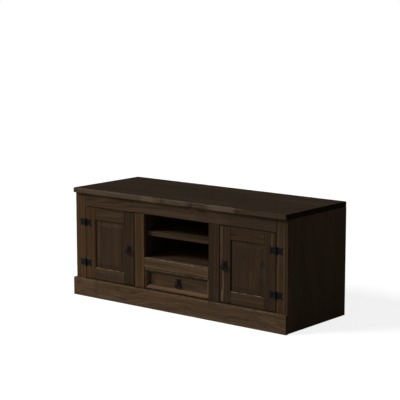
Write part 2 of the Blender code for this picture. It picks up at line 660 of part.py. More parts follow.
def ring_pull(word, parent, x, face_y, eye_z):
    """A ring pull on a face that looks to -Y: a fishtail plate with an eye, and an oval ring in the eye
    whose wire swells towards its foot."""
    half = PLATE_HEIGHT / 2
    curve = flare(PLATE_TIP_WIDTH / 2, PLATE_WAIST_WIDTH / 2, PLATE_TIP_WIDTH / 2, PLATE_HEIGHT, 0.5, 10)
    outline = [(width, up - half) for up, width in curve] + [(0.0, half - PLATE_NOTCH)]
    outline += [(-width, up - half) for up, width in reversed(curve)] + [(0.0, PLATE_NOTCH - half)]

    plate_y = face_y - SEAT - PLATE_THICKNESS / 2
    plate_front = face_y - SEAT - PLATE_THICKNESS
    eye = Vector((x, plate_front - EYE_STANDOFF, eye_z))
    plate = add_part(word + "_pull_plate", plate_mesh("pull_plate", outline, PLATE_THICKNESS),
                     (x, plate_y, eye_z - EYE_RISE), "black_iron", parent)
    neck = EYE_WIDTH / 2 - SEAT
    half_neck = EYE_RADIUS * 0.75
    join_box(plate, (x - neck, x + neck), (eye.y, plate_y), (eye.z - half_neck, eye.z + half_neck))
    boolean(plate, cylinder_mesh("eye", EYE_RADIUS, EYE_WIDTH, 18, "X"), eye, "UNION")
    cut_hole(plate, eye, EYE_HOLE_RADIUS, 2 * EYE_WIDTH, "X", 14)

    curve = bpy.data.curves.new(word + "_pull_ring", "CURVE")
    curve.dimensions = "3D"
    curve.bevel_depth = RING_WIRE / 2
    curve.bevel_resolution = 3
    curve.use_fill_caps = True
    spline = curve.splines.new("POLY")
    count = 32
    spline.points.add(count - 1)
    for index, point in enumerate(spline.points):
        turn = 2 * math.pi * index / count
        drop = (1 - math.cos(turn)) / 2
        point.co = (RING_HALF_WIDTH * math.sin(turn), 0.0, -2 * RING_HALF_HEIGHT * drop, 1.0)
        point.radius = 1 + (RING_FOOT_SWELL - 1) * drop ** 2
    spline.use_cyclic_u = True
    add_part(word + "_pull_ring", curve, eye, "black_iron", parent)


def catches(door_axes):
    """Magnetic catches on the mid stiles' backs, and the strike plates on the doors' backs."""
    height = DOOR_FOOT + CATCH_RISE
    front = FRAME_BACK_Y + SEAT
    pole_tip = front - POLE_PROUD
    strike_back = pole_tip - SEAT
    reach = MID_STILE_OUTER_X + CATCH_REACH
    strike_middle = (DOOR_INNER_X + reach) / 2
    for word, side in SIDES.items():
        body_x = span(side, reach - CATCH_WIDTH, reach)
        catch = board(word + "_magnetic_catch", body_x, (front, front + CATCH_DEPTH),
                      (height - CATCH_HEIGHT / 2, height + CATCH_HEIGHT / 2), "zinc")
        pole_x = span(side, strike_middle - POLE_LENGTH / 2, strike_middle + POLE_LENGTH / 2)
        for level in (-1, 1):
            middle = height + level * CATCH_HEIGHT / 4
            join_box(catch, pole_x, (pole_tip, front + CATCH_DEPTH / 2),
                     (middle - POLE_THICKNESS / 2, middle + POLE_THICKNESS / 2))
        board(word + "_strike_plate",
              span(side, strike_middle - STRIKE_WIDTH / 2, strike_middle + STRIKE_WIDTH / 2),
              (strike_back - STRIKE_THICKNESS, strike_back),
              (height - STRIKE_HEIGHT / 2, height + STRIKE_HEIGHT / 2), "zinc", door_axes[word],
              arris=STRIKE_THICKNESS / 4)


def moulding(name, length, place, turn, parent):
    """A strip with a flat margin and a slope down to a square inner edge, its ends mitred at 45 degrees.
    It is made with its outer edge up, then turned about Y to its side of the drawer front."""
    half = length / 2
    profile = [(0.0, 0.0), (-MOULDING_WIDTH, 0.0), (-MOULDING_WIDTH, -MOULDING_LIP),
               (-MOULDING_MARGIN, -MOULDING_THICKNESS), (0.0, -MOULDING_THICKNESS)]
    curve = bpy.data.curves.new(name, "CURVE")
    curve.dimensions = "2D"
    curve.fill_mode = "BOTH"
    curve.extrude = half
    spline = curve.splines.new("POLY")
    spline.points.add(len(profile) - 1)
    for point, (up, forward) in zip(spline.points, profile):
        point.co = (forward, up, 0.0, 1.0)
    spline.use_cyclic_u = True
    guide = bpy.data.objects.new(name + "_guide", curve)
    CUTTERS.objects.link(guide)
    mesh = mesh_from(guide)
    mesh.transform(Matrix(((0, 0, 1, 0), (1, 0, 0, 0), (0, 1, 0, 0), (0, 0, 0, 1))))
    shape = bmesh.new()
    shape.from_mesh(mesh)
    for end in (-1, 1):
        corner = Vector((end * (half - SEAT / 2), 0.0, 0.0))
        normal = Vector((end, 0.0, -1.0)).normalized()
        whole = shape.verts[:] + shape.edges[:] + shape.faces[:]
        cut = bmesh.ops.bisect_plane(shape, geom=whole, plane_co=corner, plane_no=normal,
                                     clear_outer=True)
        edges = [item for item in cut["geom_cut"] if isinstance(item, bmesh.types.BMEdge)]
        bmesh.ops.contextual_create(shape, geom=edges)
    bmesh.ops.recalc_face_normals(shape, faces=shape.faces)
    bmesh.ops.rotate(shape, verts=shape.verts, matrix=Matrix.Rotation(turn, 3, "Y"))
    shape.to_mesh(mesh)
    shape.free()
    return add_part(name, mesh, place, "stained_pine", parent)


def drawer():
    """Drawer: a front board with mitred mouldings, and a grooved box that runs on the runners."""
    middle_z = (DRAWER_FOOT + DRAWER_TOP) / 2
    axis = add_axis("drawer_slide", (0.0, FACE_Y + DRAWER_SETBACK, middle_z))
    front_x = (-DRAWER_HALF_WIDTH, DRAWER_HALF_WIDTH)
    board_y = (DRAWER_BOARD_Y + SEAT, DRAWER_BOARD_BACK_Y)
    front = board("drawer_front", front_x, board_y, (DRAWER_FOOT, DRAWER_TOP), parent=axis)

    width = 2 * DRAWER_HALF_WIDTH
    height = DRAWER_TOP - DRAWER_FOOT
    sides = {
        "top": (width, (0.0, DRAWER_BOARD_Y, DRAWER_TOP), 0.0),
        "right": (height, (DRAWER_HALF_WIDTH, DRAWER_BOARD_Y, middle_z), math.pi / 2),
        "bottom": (width, (0.0, DRAWER_BOARD_Y, DRAWER_FOOT), math.pi),
        "left": (height, (-DRAWER_HALF_WIDTH, DRAWER_BOARD_Y, middle_z), -math.pi / 2),
    }
    for word, (length, place, turn) in sides.items():
        moulding("drawer_" + word + "_moulding", length, place, turn, axis)

    box_y = (DRAWER_BOX_FRONT_Y, DRAWER_BOX_REAR_Y)
    box_z = (DRAWER_SIDE_FOOT, DRAWER_SIDE_TOP)
    groove_z = (DRAWER_BOTTOM_UNDERSIDE - SEAT, DRAWER_BOTTOM_TOP + SEAT)
    bite = DRAWER_BOTTOM_BITE
    for word, side in SIDES.items():
        x = span(side, DRAWER_SIDE_INNER_X, DRAWER_SIDE_OUTER_X)
        panel = board("drawer_" + word + "_side", x, box_y, box_z, "drawer_pine", axis)
        cut_box(panel, span(side, DRAWER_SIDE_INNER_X - bite, DRAWER_SIDE_INNER_X + bite),
                (box_y[0] - bite, box_y[1] + bite), groove_z)
        half = RUNNER_HEIGHT / 2 + RUNNER_PLAY
        cut_box(panel, span(side, DRAWER_SIDE_OUTER_X - RUNNER_BITE, DRAWER_SIDE_OUTER_X + RUNNER_BITE),
                (RUNNER_FRONT_Y - SEAT, box_y[1] + bite), (RUNNER_MIDDLE - half, RUNNER_MIDDLE + half))
    cut_box(front, (-DRAWER_SIDE_INNER_X - bite, DRAWER_SIDE_INNER_X + bite),
            (DRAWER_BOARD_BACK_Y - bite, DRAWER_BOARD_BACK_Y + bite), groove_z)

    inner = DRAWER_SIDE_INNER_X - SEAT
    back_y = (DRAWER_BOX_REAR_Y - DRAWER_BACK_THICKNESS, DRAWER_BOX_REAR_Y)
    back_z = (DRAWER_BOTTOM_TOP + SEAT, DRAWER_SIDE_TOP)
    board("drawer_back", (-inner, inner), back_y, back_z, "drawer_pine", axis)
    reach = DRAWER_SIDE_INNER_X + bite - PANEL_PLAY
    bottom_y = (DRAWER_BOARD_BACK_Y - bite + PANEL_PLAY, DRAWER_BOX_REAR_Y)
    bottom_z = (DRAWER_BOTTOM_UNDERSIDE, DRAWER_BOTTOM_TOP)
    board("drawer_bottom", (-reach, reach), bottom_y, bottom_z, "plywood", axis, arris=SEAT)
    return axis


def drawer_runners():
    """Wooden runners on the dividers, in the grooves of the drawer's sides. Their front ends stop the
    drawer when its front is at its own setback behind the frame's face."""
    for word, side in SIDES.items():
        inner = DRAWER_SIDE_OUTER_X - RUNNER_BITE + RUNNER_PLAY
        x = span(side, inner, BAY_HALF_WIDTH - SEAT)
        z = (RUNNER_MIDDLE - RUNNER_HEIGHT / 2, RUNNER_MIDDLE + RUNNER_HEIGHT / 2)
        board(word + "_drawer_runner", x, (RUNNER_FRONT_Y, DRAWER_BOX_REAR_Y), z, "drawer_pine")


def build():
    """Builds the cabinet from the floor up, then its doors, hardware and drawer."""
    carcass_boards()
    uprights()
    back_panel()
    face_frame()
    plinth()
    door_axes = {word: door(word, side) for word, side in SIDES.items()}
    hinges(door_axes)
    catches(door_axes)
    for word, side in SIDES.items():
        x = side * (DOOR_INNER_X + DOOR_STILE_WIDTH / 2)
        ring_pull(word + "_door", door_axes[word], x, FACE_Y, DOOR_FOOT + DOOR_EYE_RISE)
    drawer_axis = drawer()
    drawer_runners()
    ring_pull("drawer", drawer_axis, 0.0, DRAWER_BOARD_Y + SEAT, DRAWER_FOOT + DRAWER_EYE_RISE)


build()
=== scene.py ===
"""Looks of a media cabinet in dark-stained pine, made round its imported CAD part. Metres, +Z up, and the
front faces -Y. The sections follow the cabinet as a joiner puts it together."""

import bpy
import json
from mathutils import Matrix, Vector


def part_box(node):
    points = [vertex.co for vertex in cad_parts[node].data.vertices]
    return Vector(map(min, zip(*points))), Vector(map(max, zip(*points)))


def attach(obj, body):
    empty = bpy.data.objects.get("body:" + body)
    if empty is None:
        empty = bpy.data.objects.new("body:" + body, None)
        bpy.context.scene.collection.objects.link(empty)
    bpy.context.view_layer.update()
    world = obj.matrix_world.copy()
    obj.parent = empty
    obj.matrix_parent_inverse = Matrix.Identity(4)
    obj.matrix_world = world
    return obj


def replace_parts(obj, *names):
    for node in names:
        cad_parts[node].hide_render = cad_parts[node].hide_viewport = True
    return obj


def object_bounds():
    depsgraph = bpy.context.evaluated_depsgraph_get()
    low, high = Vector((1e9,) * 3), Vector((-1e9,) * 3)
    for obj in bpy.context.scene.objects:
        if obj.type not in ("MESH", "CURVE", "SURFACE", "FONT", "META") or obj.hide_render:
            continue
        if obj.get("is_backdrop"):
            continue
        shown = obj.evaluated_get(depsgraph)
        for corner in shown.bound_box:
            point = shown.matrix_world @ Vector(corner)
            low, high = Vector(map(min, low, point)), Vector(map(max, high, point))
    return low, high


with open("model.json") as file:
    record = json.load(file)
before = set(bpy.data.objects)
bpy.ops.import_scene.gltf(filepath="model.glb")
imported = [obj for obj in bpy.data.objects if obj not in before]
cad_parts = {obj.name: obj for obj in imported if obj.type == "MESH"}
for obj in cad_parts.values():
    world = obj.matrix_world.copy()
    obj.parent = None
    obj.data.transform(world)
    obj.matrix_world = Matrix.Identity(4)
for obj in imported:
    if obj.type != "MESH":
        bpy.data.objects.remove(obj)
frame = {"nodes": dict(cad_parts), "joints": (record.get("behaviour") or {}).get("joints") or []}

import inspect
import json
import math

import bpy
import numpy as np
from mathutils import Matrix, Vector

nodes = frame["nodes"]
cad_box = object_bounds()


# Uprights: two side panels and two dividers. The real ones are glued up from planed pine staves that stand
# upright, stained dark and waxed. They stay as the CAD has them and get their wood here.

class Field:
    """A value that changes over a surface: one output of a shader node. A sum that is written with + - *
    or / on fields adds the node that works it out."""

    def __init__(self, node, output=0):
        self.socket = node.outputs[output]
        self.tree = node.id_data

    def __add__(self, other):
        return work("ADD", self, other)

    def __sub__(self, other):
        return work("SUBTRACT", self, other)

    def __rsub__(self, other):
        return work("SUBTRACT", other, self)

    def __mul__(self, other):
        """A product part by part, where a vector times a number is the vector scaled."""
        if is_vector(self) and not is_vector(other):
            return Field(put("VectorMath", {0: self, "Scale": other}, operation="SCALE"))
        return work("MULTIPLY", self, other)

    def __truediv__(self, other):
        return work("DIVIDE", self, other)

    def parts(self):
        """The three parts of a vector, as fields."""
        node = put("SeparateXYZ", {0: self})
        return [Field(node, axis) for axis in range(3)]


def is_vector(value):
    """Whether a field or a plain value is a vector or a colour, and not a number."""
    return value.socket.type != "VALUE" if isinstance(value, Field) else isinstance(value, tuple)


def feed(socket, value):
    """Links a field to a node's input, or sets a plain value on it."""
    if isinstance(value, Field):
        value.tree.links.new(value.socket, socket)
    else:
        socket.default_value = value


def put(kind, inputs=None, tree=None, **settings):
    """Adds a shader node, in the tree of its first input that is a field unless a tree is named."""
    inputs = inputs or {}
    tree = tree or next(value.tree for value in inputs.values() if isinstance(value, Field))
    node = tree.nodes.new("ShaderNode" + kind)
    for name, value in settings.items():
        setattr(node, name, value)
    for key, value in inputs.items():
        feed(node.inputs[key], value)
    return node


def work(operation, *values):
    """One sum, as a Math node, or as a VectorMath node where a value is a vector."""
    kind = "VectorMath" if any(is_vector(value) for value in values) else "Math"
    node = put(kind, dict(enumerate(values)), operation=operation)
    return Field(node, "Value" if operation == "LENGTH" else 0)


def ease(value, low, high, start=0.0, end=1.0):
    """Runs smoothly from start to end while value goes from low to high."""
    inputs = {"Value": value, "From Min": low, "From Max": high, "To Min": start, "To Max": end}
    return Field(put("MapRange", inputs, interpolation_type="SMOOTHSTEP"), "Result")


def tint(share, one, other, way="MIX"):
    """Mixes two colours by a share that changes over the surface."""
    return Field(put("Mix", {0: share, 6: one, 7: other}, data_type="RGBA", blend_type=way), 2)


def cloud(place, scale, detail=2, roughness=0.5, output=0):
    """Smooth noise round 0.5, with one scale for all axes or one for each. Output 1 is its colour."""
    inputs = {"Vector": place * scale, "Scale": 1.0, "Detail": detail, "Roughness": roughness}
    return Field(put("TexNoise", inputs), output)


def effect(sums):
    """Makes a shader node group out of a function and under its name. The function's arguments, with
    their plain values, are the group's inputs, and the fields that it returns by name its outputs."""
    tree = bpy.data.node_groups.new(sums.__name__, "ShaderNodeTree")
    plain = {label: argument.default for label, argument in inspect.signature(sums).parameters.items()}
    for label, value in plain.items():
        kind = {3: "Vector", 4: "Color"}[len(value)] if isinstance(value, tuple) else "Float"
        socket = tree.interface.new_socket(label, in_out="INPUT", socket_type="NodeSocket" + kind)
        socket.default_value = value
    given = tree.nodes.new("NodeGroupInput")
    results = sums(*(Field(given, label) for label in plain))
    for label, result in results.items():
        kind = {"VALUE": "Float", "RGBA": "Color"}[result.socket.type]
        tree.interface.new_socket(label, in_out="OUTPUT", socket_type="NodeSocket" + kind)
    out = tree.nodes.new("NodeGroupOutput")
    for label, result in results.items():
        feed(out.inputs[label], result)
    return tree


ZERO = (0.0, 0.0, 0.0)
HALF = (0.5, 0.5, 0.5)


def board_arris(place=ZERO, low=ZERO, high=ZERO, reach=0.003, rub_low=ZERO, rub_high=ZERO, rub_reach=0.004):
    """Masks for a board's edges. Inside a box, the middle one of a point's three distances to the nearest
    faces is its distance from the nearest edge. The edge mask is 1 on all the edges, where stain gathers;
    where its reach is widened beside the door gaps, it is partly painted shade in the gaps. The rub mask is
    1 on the edges inside a second box, where hands and cloths have rubbed the stain away. On the doors'
    bottom rails it is a painted highlight instead, and on the top and the plinth it is partly one, where a
    rounded edge catches the light."""
    x, y, z = work("MINIMUM", place - low, high - place).parts()
    middle = work("MAXIMUM", work("MINIMUM", x, y), work("MINIMUM", work("MAXIMUM", x, y), z))
    rough = cloud(place, 45, 3)
    edge = ease(middle / (reach * ease(rough, 0.35, 0.65, 0.65, 1.3)), 0.2, 1.0, 1.0, 0.0)
    rub = ease(middle / (rub_reach * ease(rough, 0.35, 0.65, 0.3, 1.4)), 0.3, 1.0, 1.0, 0.0)
    x, y, z = work("MINIMUM", place - rub_low, rub_high - place).parts()
    least = work("MINIMUM", work("MINIMUM", x, y), z)
    return {"edge": edge, "rub": rub * ease(least, 0.0, 0.0015)}


def pine_growth(place=ZERO, pith=ZERO, ring=0.004, stave=1.0, wander=0.02, swirl=0.0, glue=1.0, seed=ZERO):
    """Pine as solid wood. The grain runs along X, Y goes across the board and Z through it. The growth
    rings are rough cylinders round a pith line beside the board, cut open by its faces. Wide boards are
    staves side by side, each with its own pith and tone."""
    x, y, z = place.parts()
    across = y / stave + 0.5
    number = work("FLOOR", across)
    chance = put("TexWhiteNoise", {"W": number + seed.parts()[0]}, noise_dimensions="1D")
    within = across - number
    to_joint = work("MINIMUM", within, 1.0 - within) * stave
    shift = (Field(chance, "Color") - HALF) * (3.0, 0.05, 0.06)
    own = Field(put("CombineXYZ", {0: x, 1: y - number * stave, 2: z})) + shift + seed
    bend = (cloud(own, (1.7, 8.0, 8.0), 3, 0.45, 1) - HALF) * wander
    from_pith = own + bend - seed - pith
    radius = work("LENGTH", from_pith * (0.0, 1.0, 1.0)) + x * 0.012 + swirl
    years = Field(put("TexNoise", {"W": radius, "Scale": 85.0, "Detail": 2.0}, noise_dimensions="1D"))
    phase = radius / ring
    part = work("FRACT", phase)
    year = Field(put("TexWhiteNoise", {"W": work("FLOOR", phase)}, noise_dimensions="1D"))
    late = ease(part, 0.25, 0.85) * ease(part, 0.9, 1.0, 1.0, 0.0) * ease(year, 0.0, 1.0, 0.45, 1.0)
    return {"late": late, "band": ease(years, 0.3, 0.7),
            "streak": ease(cloud(own, (1.3, 62.0, 62.0), 3, 0.55), 0.3, 0.7),
            "fibre": ease(cloud(own, (16.0, 900.0, 900.0), 3, 0.6), 0.3, 0.7),
            "tone": ease(cloud(own, (2.2, 9.0, 9.0)), 0.3, 0.7),
            "stave_tone": Field(chance, "Value"),
            "joint": ease(to_joint, 0.0002, 0.0009, 1.0, 0.0) * glue}


def knot_mark(place=ZERO, centre=ZERO, radius=0.008):
    """A knot: a heart with its own rings and a soft bark line, drawn out along the grain, and the swell
    that pushes the growth rings round it."""
    far = work("LENGTH", (place - centre) * (0.62, 1.0, 0.0)) / radius
    far = far * ease(cloud(place, 60), 0.2, 0.8, 0.75, 1.25)
    lines = ease(work("FRACT", far * 4.0), 0.0, 1.0, 0.7, 1.0)
    return {"heart": ease(far, 0.8, 1.0, 1.0, 0.0) * lines,
            "bark": ease(far, 0.75, 0.98) * ease(far, 1.0, 1.4, 1.0, 0.0),
            "swirl": radius / (far * far + 1.0) * 2.8}


def stain_patch(place=ZERO, centre=ZERO, size=ZERO):
    """A soft patch that is darker or lighter than the wood round it: mostly where the stain took more or
    less, but the drawer front's dark patch is a painted shadow and the left door panel's pale patches are
    painted highlights. It is 1 in its middle, with a ragged edge that follows the grain."""
    far = work("LENGTH", (place - centre) / size)
    far = far + ease(cloud(place, (14.0, 120.0, 120.0), 3), 0.25, 0.75, -0.35, 0.35)
    return {"patch": ease(far, 0.45, 1.15, 1.0, 0.0)}


def pine_finish(pale=(0.05, 0.03, 0.02, 1.0), dark=(0.02, 0.013, 0.008, 1.0), sapwood=(0.1, 0.07, 0.04, 1.0),
                smoke=(0.03, 0.026, 0.022, 1.0), worn=(0.12, 0.08, 0.05, 1.0),
                gathered=(0.008, 0.0055, 0.0036, 1.0), late=0.0, contrast=0.62, band=0.5, streak=0.5,
                figure=1.0, fibre=0.0, tone=0.0, stave_tone=0.5, joint=0.0, heart=0.0, bark=0.0,
                pale_patch=0.0, dark_patch=0.0, edge=0.0, rub=0.0, end=0.0, place=ZERO):
    """Colour, roughness and height of stained and waxed pine, from its growth and marks. Stain sits dark
    in the late wood, in hollows and on end grain, and is rubbed away or gathers on edges. In places the pale
    edges and patches are painted highlights, and the dark edges and patches painted shade."""
    streak, band = ((part - 0.5) * figure + 0.5 for part in (streak, band))
    colour = tint(late * contrast, pale, dark)
    colour = tint(1.0, colour, tint(streak, (0.83, 0.86, 0.90, 1), (1.15, 1.09, 1.00, 1)), "MULTIPLY")
    light = ease(tone, 0, 1, 0.89, 1.12) * ease(fibre, 0, 1, 0.86, 1.12) * ease(stave_tone, 0, 1, 0.92, 1.08)
    colour = colour * (light * ease(band, 0, 1, 0.85, 1.15) * ease(end, 0, 1, 1.0, 0.30))
    rub = rub * ease(cloud(place, (14.0, 70.0, 70.0), 3), 0.35, 0.6, 0.35, 1.0)
    for share, stain in ((pale_patch * (1.0 - late * 0.45), sapwood), (dark_patch * 0.75, smoke),
                         (heart * 0.5, (0.016, 0.011, 0.008, 1)), (bark * 0.5, (0.008, 0.006, 0.005, 1)),
                         (edge * 0.85, gathered), (rub * 0.85, worn),
                         (joint * 0.6, (0.007, 0.005, 0.004, 1))):
        colour = tint(share, colour, stain)
    return {"colour": colour,
            "roughness": ease(fibre, 0, 1, 0.56, 0.7) + ease(late, 0, 1, 0.03, -0.06) - rub * 0.08,
            "height": late * 0.45 + fibre * 0.4 + tone * 0.25 - bark * 0.5 - joint * 1.2 + heart * 0.2}


arris_group, growth_group, knot_group = effect(board_arris), effect(pine_growth), effect(knot_mark)
patch_group, finish_group = effect(stain_patch), effect(pine_finish)

UMBER = dict(pale=(0.0455, 0.0282, 0.0165, 1), dark=(0.0190, 0.0118, 0.0070, 1))
TAWNY = dict(pale=(0.0660, 0.0375, 0.0180, 1), dark=(0.0260, 0.0145, 0.0070, 1))
HONEY = dict(pale=(0.0880, 0.0555, 0.0310, 1), dark=(0.0350, 0.0214, 0.0120, 1),
             worn=(0.175, 0.128, 0.086, 1))
GRAIN_AXES = {"x": (0, 2, 1), "z": (2, 0, 1), "y": (1, 2, 0), "top": (0, 1, 2), "side": (2, 1, 0)}


def new_material(name):
    """An empty material, with its tree and its shader."""
    material = bpy.data.materials.new(name)
    material.use_nodes = True
    return material, material.node_tree, material.node_tree.nodes["Principled BSDF"]


def pine(name, run, colours=UMBER, pith=(0, 0.02, 0.07), ring=0.0042, stave=1.0, wander=0.02, knots=(),
         pale_patches=(), dark_patches=(), reach=0.0026, soft_edges=0.0012, shade=1.0, glue=1.0,
         contrast=0.62, streaks=1.0, rubbed=(ZERO, ZERO), rub_reach=0.004, gloss=0.01):
    """Stained pine for the board of that name. run names its grain's direction, ring is a year's width
    and wander how far the rings stray. Knots are (along, across, radius) from the board's middle, with a
    share after them if they show faintly, and patches (along, across, half length, half width, strength).
    Stain gathers within reach of an edge, which shades round over soft_edges; on the stiles beside the door
    gaps a wider reach also darkens the edges as painted shade in the gaps. shade scales the stain's two
    colours. On the boards of the right half it is partly painted shade, for light that falls off to the
    right, and on the drawer's mouldings it paints light and shade by the way each faces. contrast is how
    dark the late wood shows, streaks how much the wider figure does, glue how dark a joint between staves
    is, and gloss the shine of the wax. The box of rubbed edges, given as its low and high corners, holds the
    edges that are rubbed pale over their own reach. On the doors' bottom rails that pale edge is a painted
    highlight, and on the top and the plinth it is partly one. The dark patch on the drawer's front is a
    painted shadow, and the pale patches on the left door's panel are painted highlights."""
    material, tree, shader = new_material(name + "_pine")
    low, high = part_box(name)
    texture = put("TexCoord", tree=tree)
    place = Field(texture, "Object")
    parts = (place - tuple((low + high) / 2)).parts()
    own = Field(put("CombineXYZ", {i: parts[axis] for i, axis in enumerate(GRAIN_AXES[run])}))

    marks = dict.fromkeys(("heart", "bark", "swirl", "pale_patch", "dark_patch"), 0.0)
    for along, across, radius, *share in knots:
        knot = put("Group", {"place": own, "centre": (along, across, 0), "radius": radius},
                   node_tree=knot_group)
        for key in ("heart", "bark"):
            seen = Field(knot, key) * share[0] if share else Field(knot, key)
            marks[key] = work("MAXIMUM", marks[key], seen)
        marks["swirl"] = work("ADD", marks["swirl"], Field(knot, "swirl"))
    for key, patches in (("pale_patch", pale_patches), ("dark_patch", dark_patches)):
        for along, across, half_length, half_width, strength in patches:
            patch = put("Group", {"place": own, "centre": (along, across, 0),
                                  "size": (half_length, half_width, 1.0)}, node_tree=patch_group)
            marks[key] = work("MAXIMUM", marks[key], Field(patch) * strength)

    seed = sum(ord(letter) * (number + 1) for number, letter in enumerate(name)) % 97
    growth = put("Group", {"place": own, "pith": pith, "ring": ring, "stave": stave, "wander": wander,
                           "swirl": marks.pop("swirl"), "glue": glue,
                           "seed": (seed * 1.37, seed * 0.71, seed * 0.29)}, node_tree=growth_group)
    arris = put("Group", {"place": place, "low": low, "high": high, "reach": reach, "rub_low": rubbed[0],
                          "rub_high": rubbed[1], "rub_reach": rub_reach}, node_tree=arris_group)
    for key in ("pale", "dark"):
        colours = {**colours, key: tuple(part * shade for part in colours[key][:3]) + (1,)}
    facing = Field(texture, "Normal").parts()[GRAIN_AXES[run][0]]
    finish = put("Group", {
        "place": own, "contrast": contrast, "figure": streaks, **colours, **marks,
        **{output.name: Field(growth, output.name) for output in growth.outputs},
        **{output.name: Field(arris, output.name) for output in arris.outputs},
        "end": ease(work("ABSOLUTE", facing), 0.55, 0.9)}, node_tree=finish_group)

    feed(shader.inputs["Base Color"], Field(finish, "colour"))
    feed(shader.inputs["Roughness"], Field(finish, "roughness"))
    bump = put("Bump", {"Height": Field(finish, "height"), "Distance": 0.0005, "Strength": 0.6})
    if soft_edges:
        feed(bump.inputs["Normal"], Field(put("Bevel", {"Radius": soft_edges}, tree, samples=4)))
    feed(shader.inputs["Normal"], Field(bump))
    shader.inputs["Specular IOR Level"].default_value = gloss
    return material


def finish_node(name, material):
    """Gives a CAD node its finished material in every slot."""
    slots = nodes[name].data.materials
    for index in range(len(slots)):
        slots[index] = material


def pine_node(name, run, **looks):
    """Stained pine on a CAD board that stays as it is."""
    finish_node(name, pine(name, run, **looks))


UPRIGHT_STAVE = 0.094
for name, knots in (("left_side_panel", ((0.12, -0.1, 0.009), (-0.16, 0.13, 0.007))),
                    ("right_side_panel", ((0.08, -0.14, 0.009), (-0.19, 0.06, 0.008), (0.2, 0.17, 0.006))),
                    ("left_divider", ((-0.1, 0.05, 0.007),)), ("right_divider", ((0.1, -0.08, 0.007),))):
    pine_node(name, "side", stave=UPRIGHT_STAVE, knots=knots, shade=0.64, glue=0.15, contrast=0.16,
              streaks=0.4, reach=0.0014, wander=0.012)


# Level boards between the uprights: the bottom, the floor and the shelf of the open bay, and one shelf in
# each cupboard. Glued up from pine staves that run along the cabinet, and let into grooves.

LEVEL_STAVE = 0.088
for name, knots in (("bottom_board", ((0.3, 0.1, 0.008), (-0.4, -0.1, 0.007))),
                    ("bay_floor", ((0.1, 0.08, 0.006),)), ("bay_shelf", ((-0.08, -0.05, 0.006),)),
                    ("left_cupboard_shelf", ((0.05, 0.1, 0.007),)),
                    ("right_cupboard_shelf", ((-0.09, -0.04, 0.008),))):
    pine_node(name, "top", stave=LEVEL_STAVE, knots=knots)


# Back panel: thin pine plywood, stained on its outer face, with a cable hole behind each half of the bay,
# nailed to the frame with small round heads.

def plywood(name, run, pale, dark):
    """Thin plywood whose face is a wide peeled veneer, so that its grain is large and flowing."""
    colours = dict(pale=pale, dark=dark, sapwood=pale, smoke=dark, gathered=dark)
    material = pine(name, run, colours, pith=(0, 0.01, 0.34), ring=0.011, wander=0.16, reach=0.0015,
                    soft_edges=0)
    material.name = name + "_plywood"
    finish_node(name, material)


def new_object(name, data):
    """Puts a new object into the scene."""
    item = bpy.data.objects.new(name, data)
    bpy.context.scene.collection.objects.link(item)
    return item


def surface(name, points, faces, material, body, slot, smooth=35):
    """Makes a piece from points and faces, turns it right side out by its signed volume, shades it smooth
    with its real corners sharp, and lets it ride on its body."""
    turned = []
    for shell in faces:
        corner = points[shell]
        wedge = np.einsum("ij,ij->i", corner[:, 0], np.cross(corner[:, 1], corner[:, 2]))
        wedge += np.einsum("ij,ij->i", corner[:, 0], np.cross(corner[:, 2], corner[:, 3]))
        turned.append(shell if wedge.sum() > 0 else shell[:, ::-1])
    mesh = bpy.data.meshes.new(name)
    mesh.from_pydata(points.tolist(), [], np.concatenate(turned).tolist())
    mesh.shade_smooth()
    mesh.set_sharp_from_angle(angle=math.radians(smooth))
    mesh.materials.append(material)
    piece = new_object(name, mesh)
    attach(piece, body)
    return piece


def wrap(rings, first):
    """Faces of a skin over a stack of closed rings, whose point i pairs with its mirror across the ring
    to close both ends. rings has the shape (rings, points, 3), and first is the first point's number."""
    count, around = rings.shape[:2]
    index = np.arange(count * around).reshape(count, around) + first
    after = np.roll(index, -1, axis=1)
    walls = np.stack([index[:-1], after[:-1], after[1:], index[1:]], axis=-1).reshape(-1, 4)
    i = np.arange(around // 2 - 1)
    lid = np.stack([i, around - 1 - i, around - 2 - i, i + 1], axis=-1) + first
    return np.concatenate([walls, lid, lid[:, ::-1] + (count - 1) * around])


def skins(stacks):
    """Points and faces of several stacks of rings in one piece."""
    points, faces, first = [], [], 0
    for rings in stacks:
        points.append(rings.reshape(-1, 3))
        faces.append(wrap(rings, first))
        first += len(points[-1])
    return np.concatenate(points), faces


def metal(name, colour, roughness, mottle, bump=0.0003, grain=420):
    """Small metal parts: a base colour mottled by handling and oxide, with uneven polish. grain is how
    fine the mottle is, and mottle how strong."""
    material, tree, shader = new_material(name)
    place = Field(put("TexCoord", tree=tree), "Object")
    coarse, fine = cloud(place, grain / 4, 3, 0.6), cloud(place, grain * 3, 3, 0.6)
    shade = (ease(coarse, 0.3, 0.7, 1 - mottle, 1 + mottle)
             * ease(fine, 0.3, 0.7, 1 - mottle / 2, 1 + mottle / 2))
    feed(shader.inputs["Base Color"], shade * colour)
    feed(shader.inputs["Roughness"], ease(coarse, 0.3, 0.7, roughness - 0.08, roughness + 0.1))
    relief = put("Bump", {"Height": coarse + fine * 0.3, "Distance": bump, "Strength": 0.7})
    feed(shader.inputs["Normal"], Field(relief))
    shader.inputs["Metallic"].default_value = 1.0
    return material


# For each axis, the two axes across it, in turning order.
AXES_ACROSS = ((1, 2), (2, 0), (0, 1))


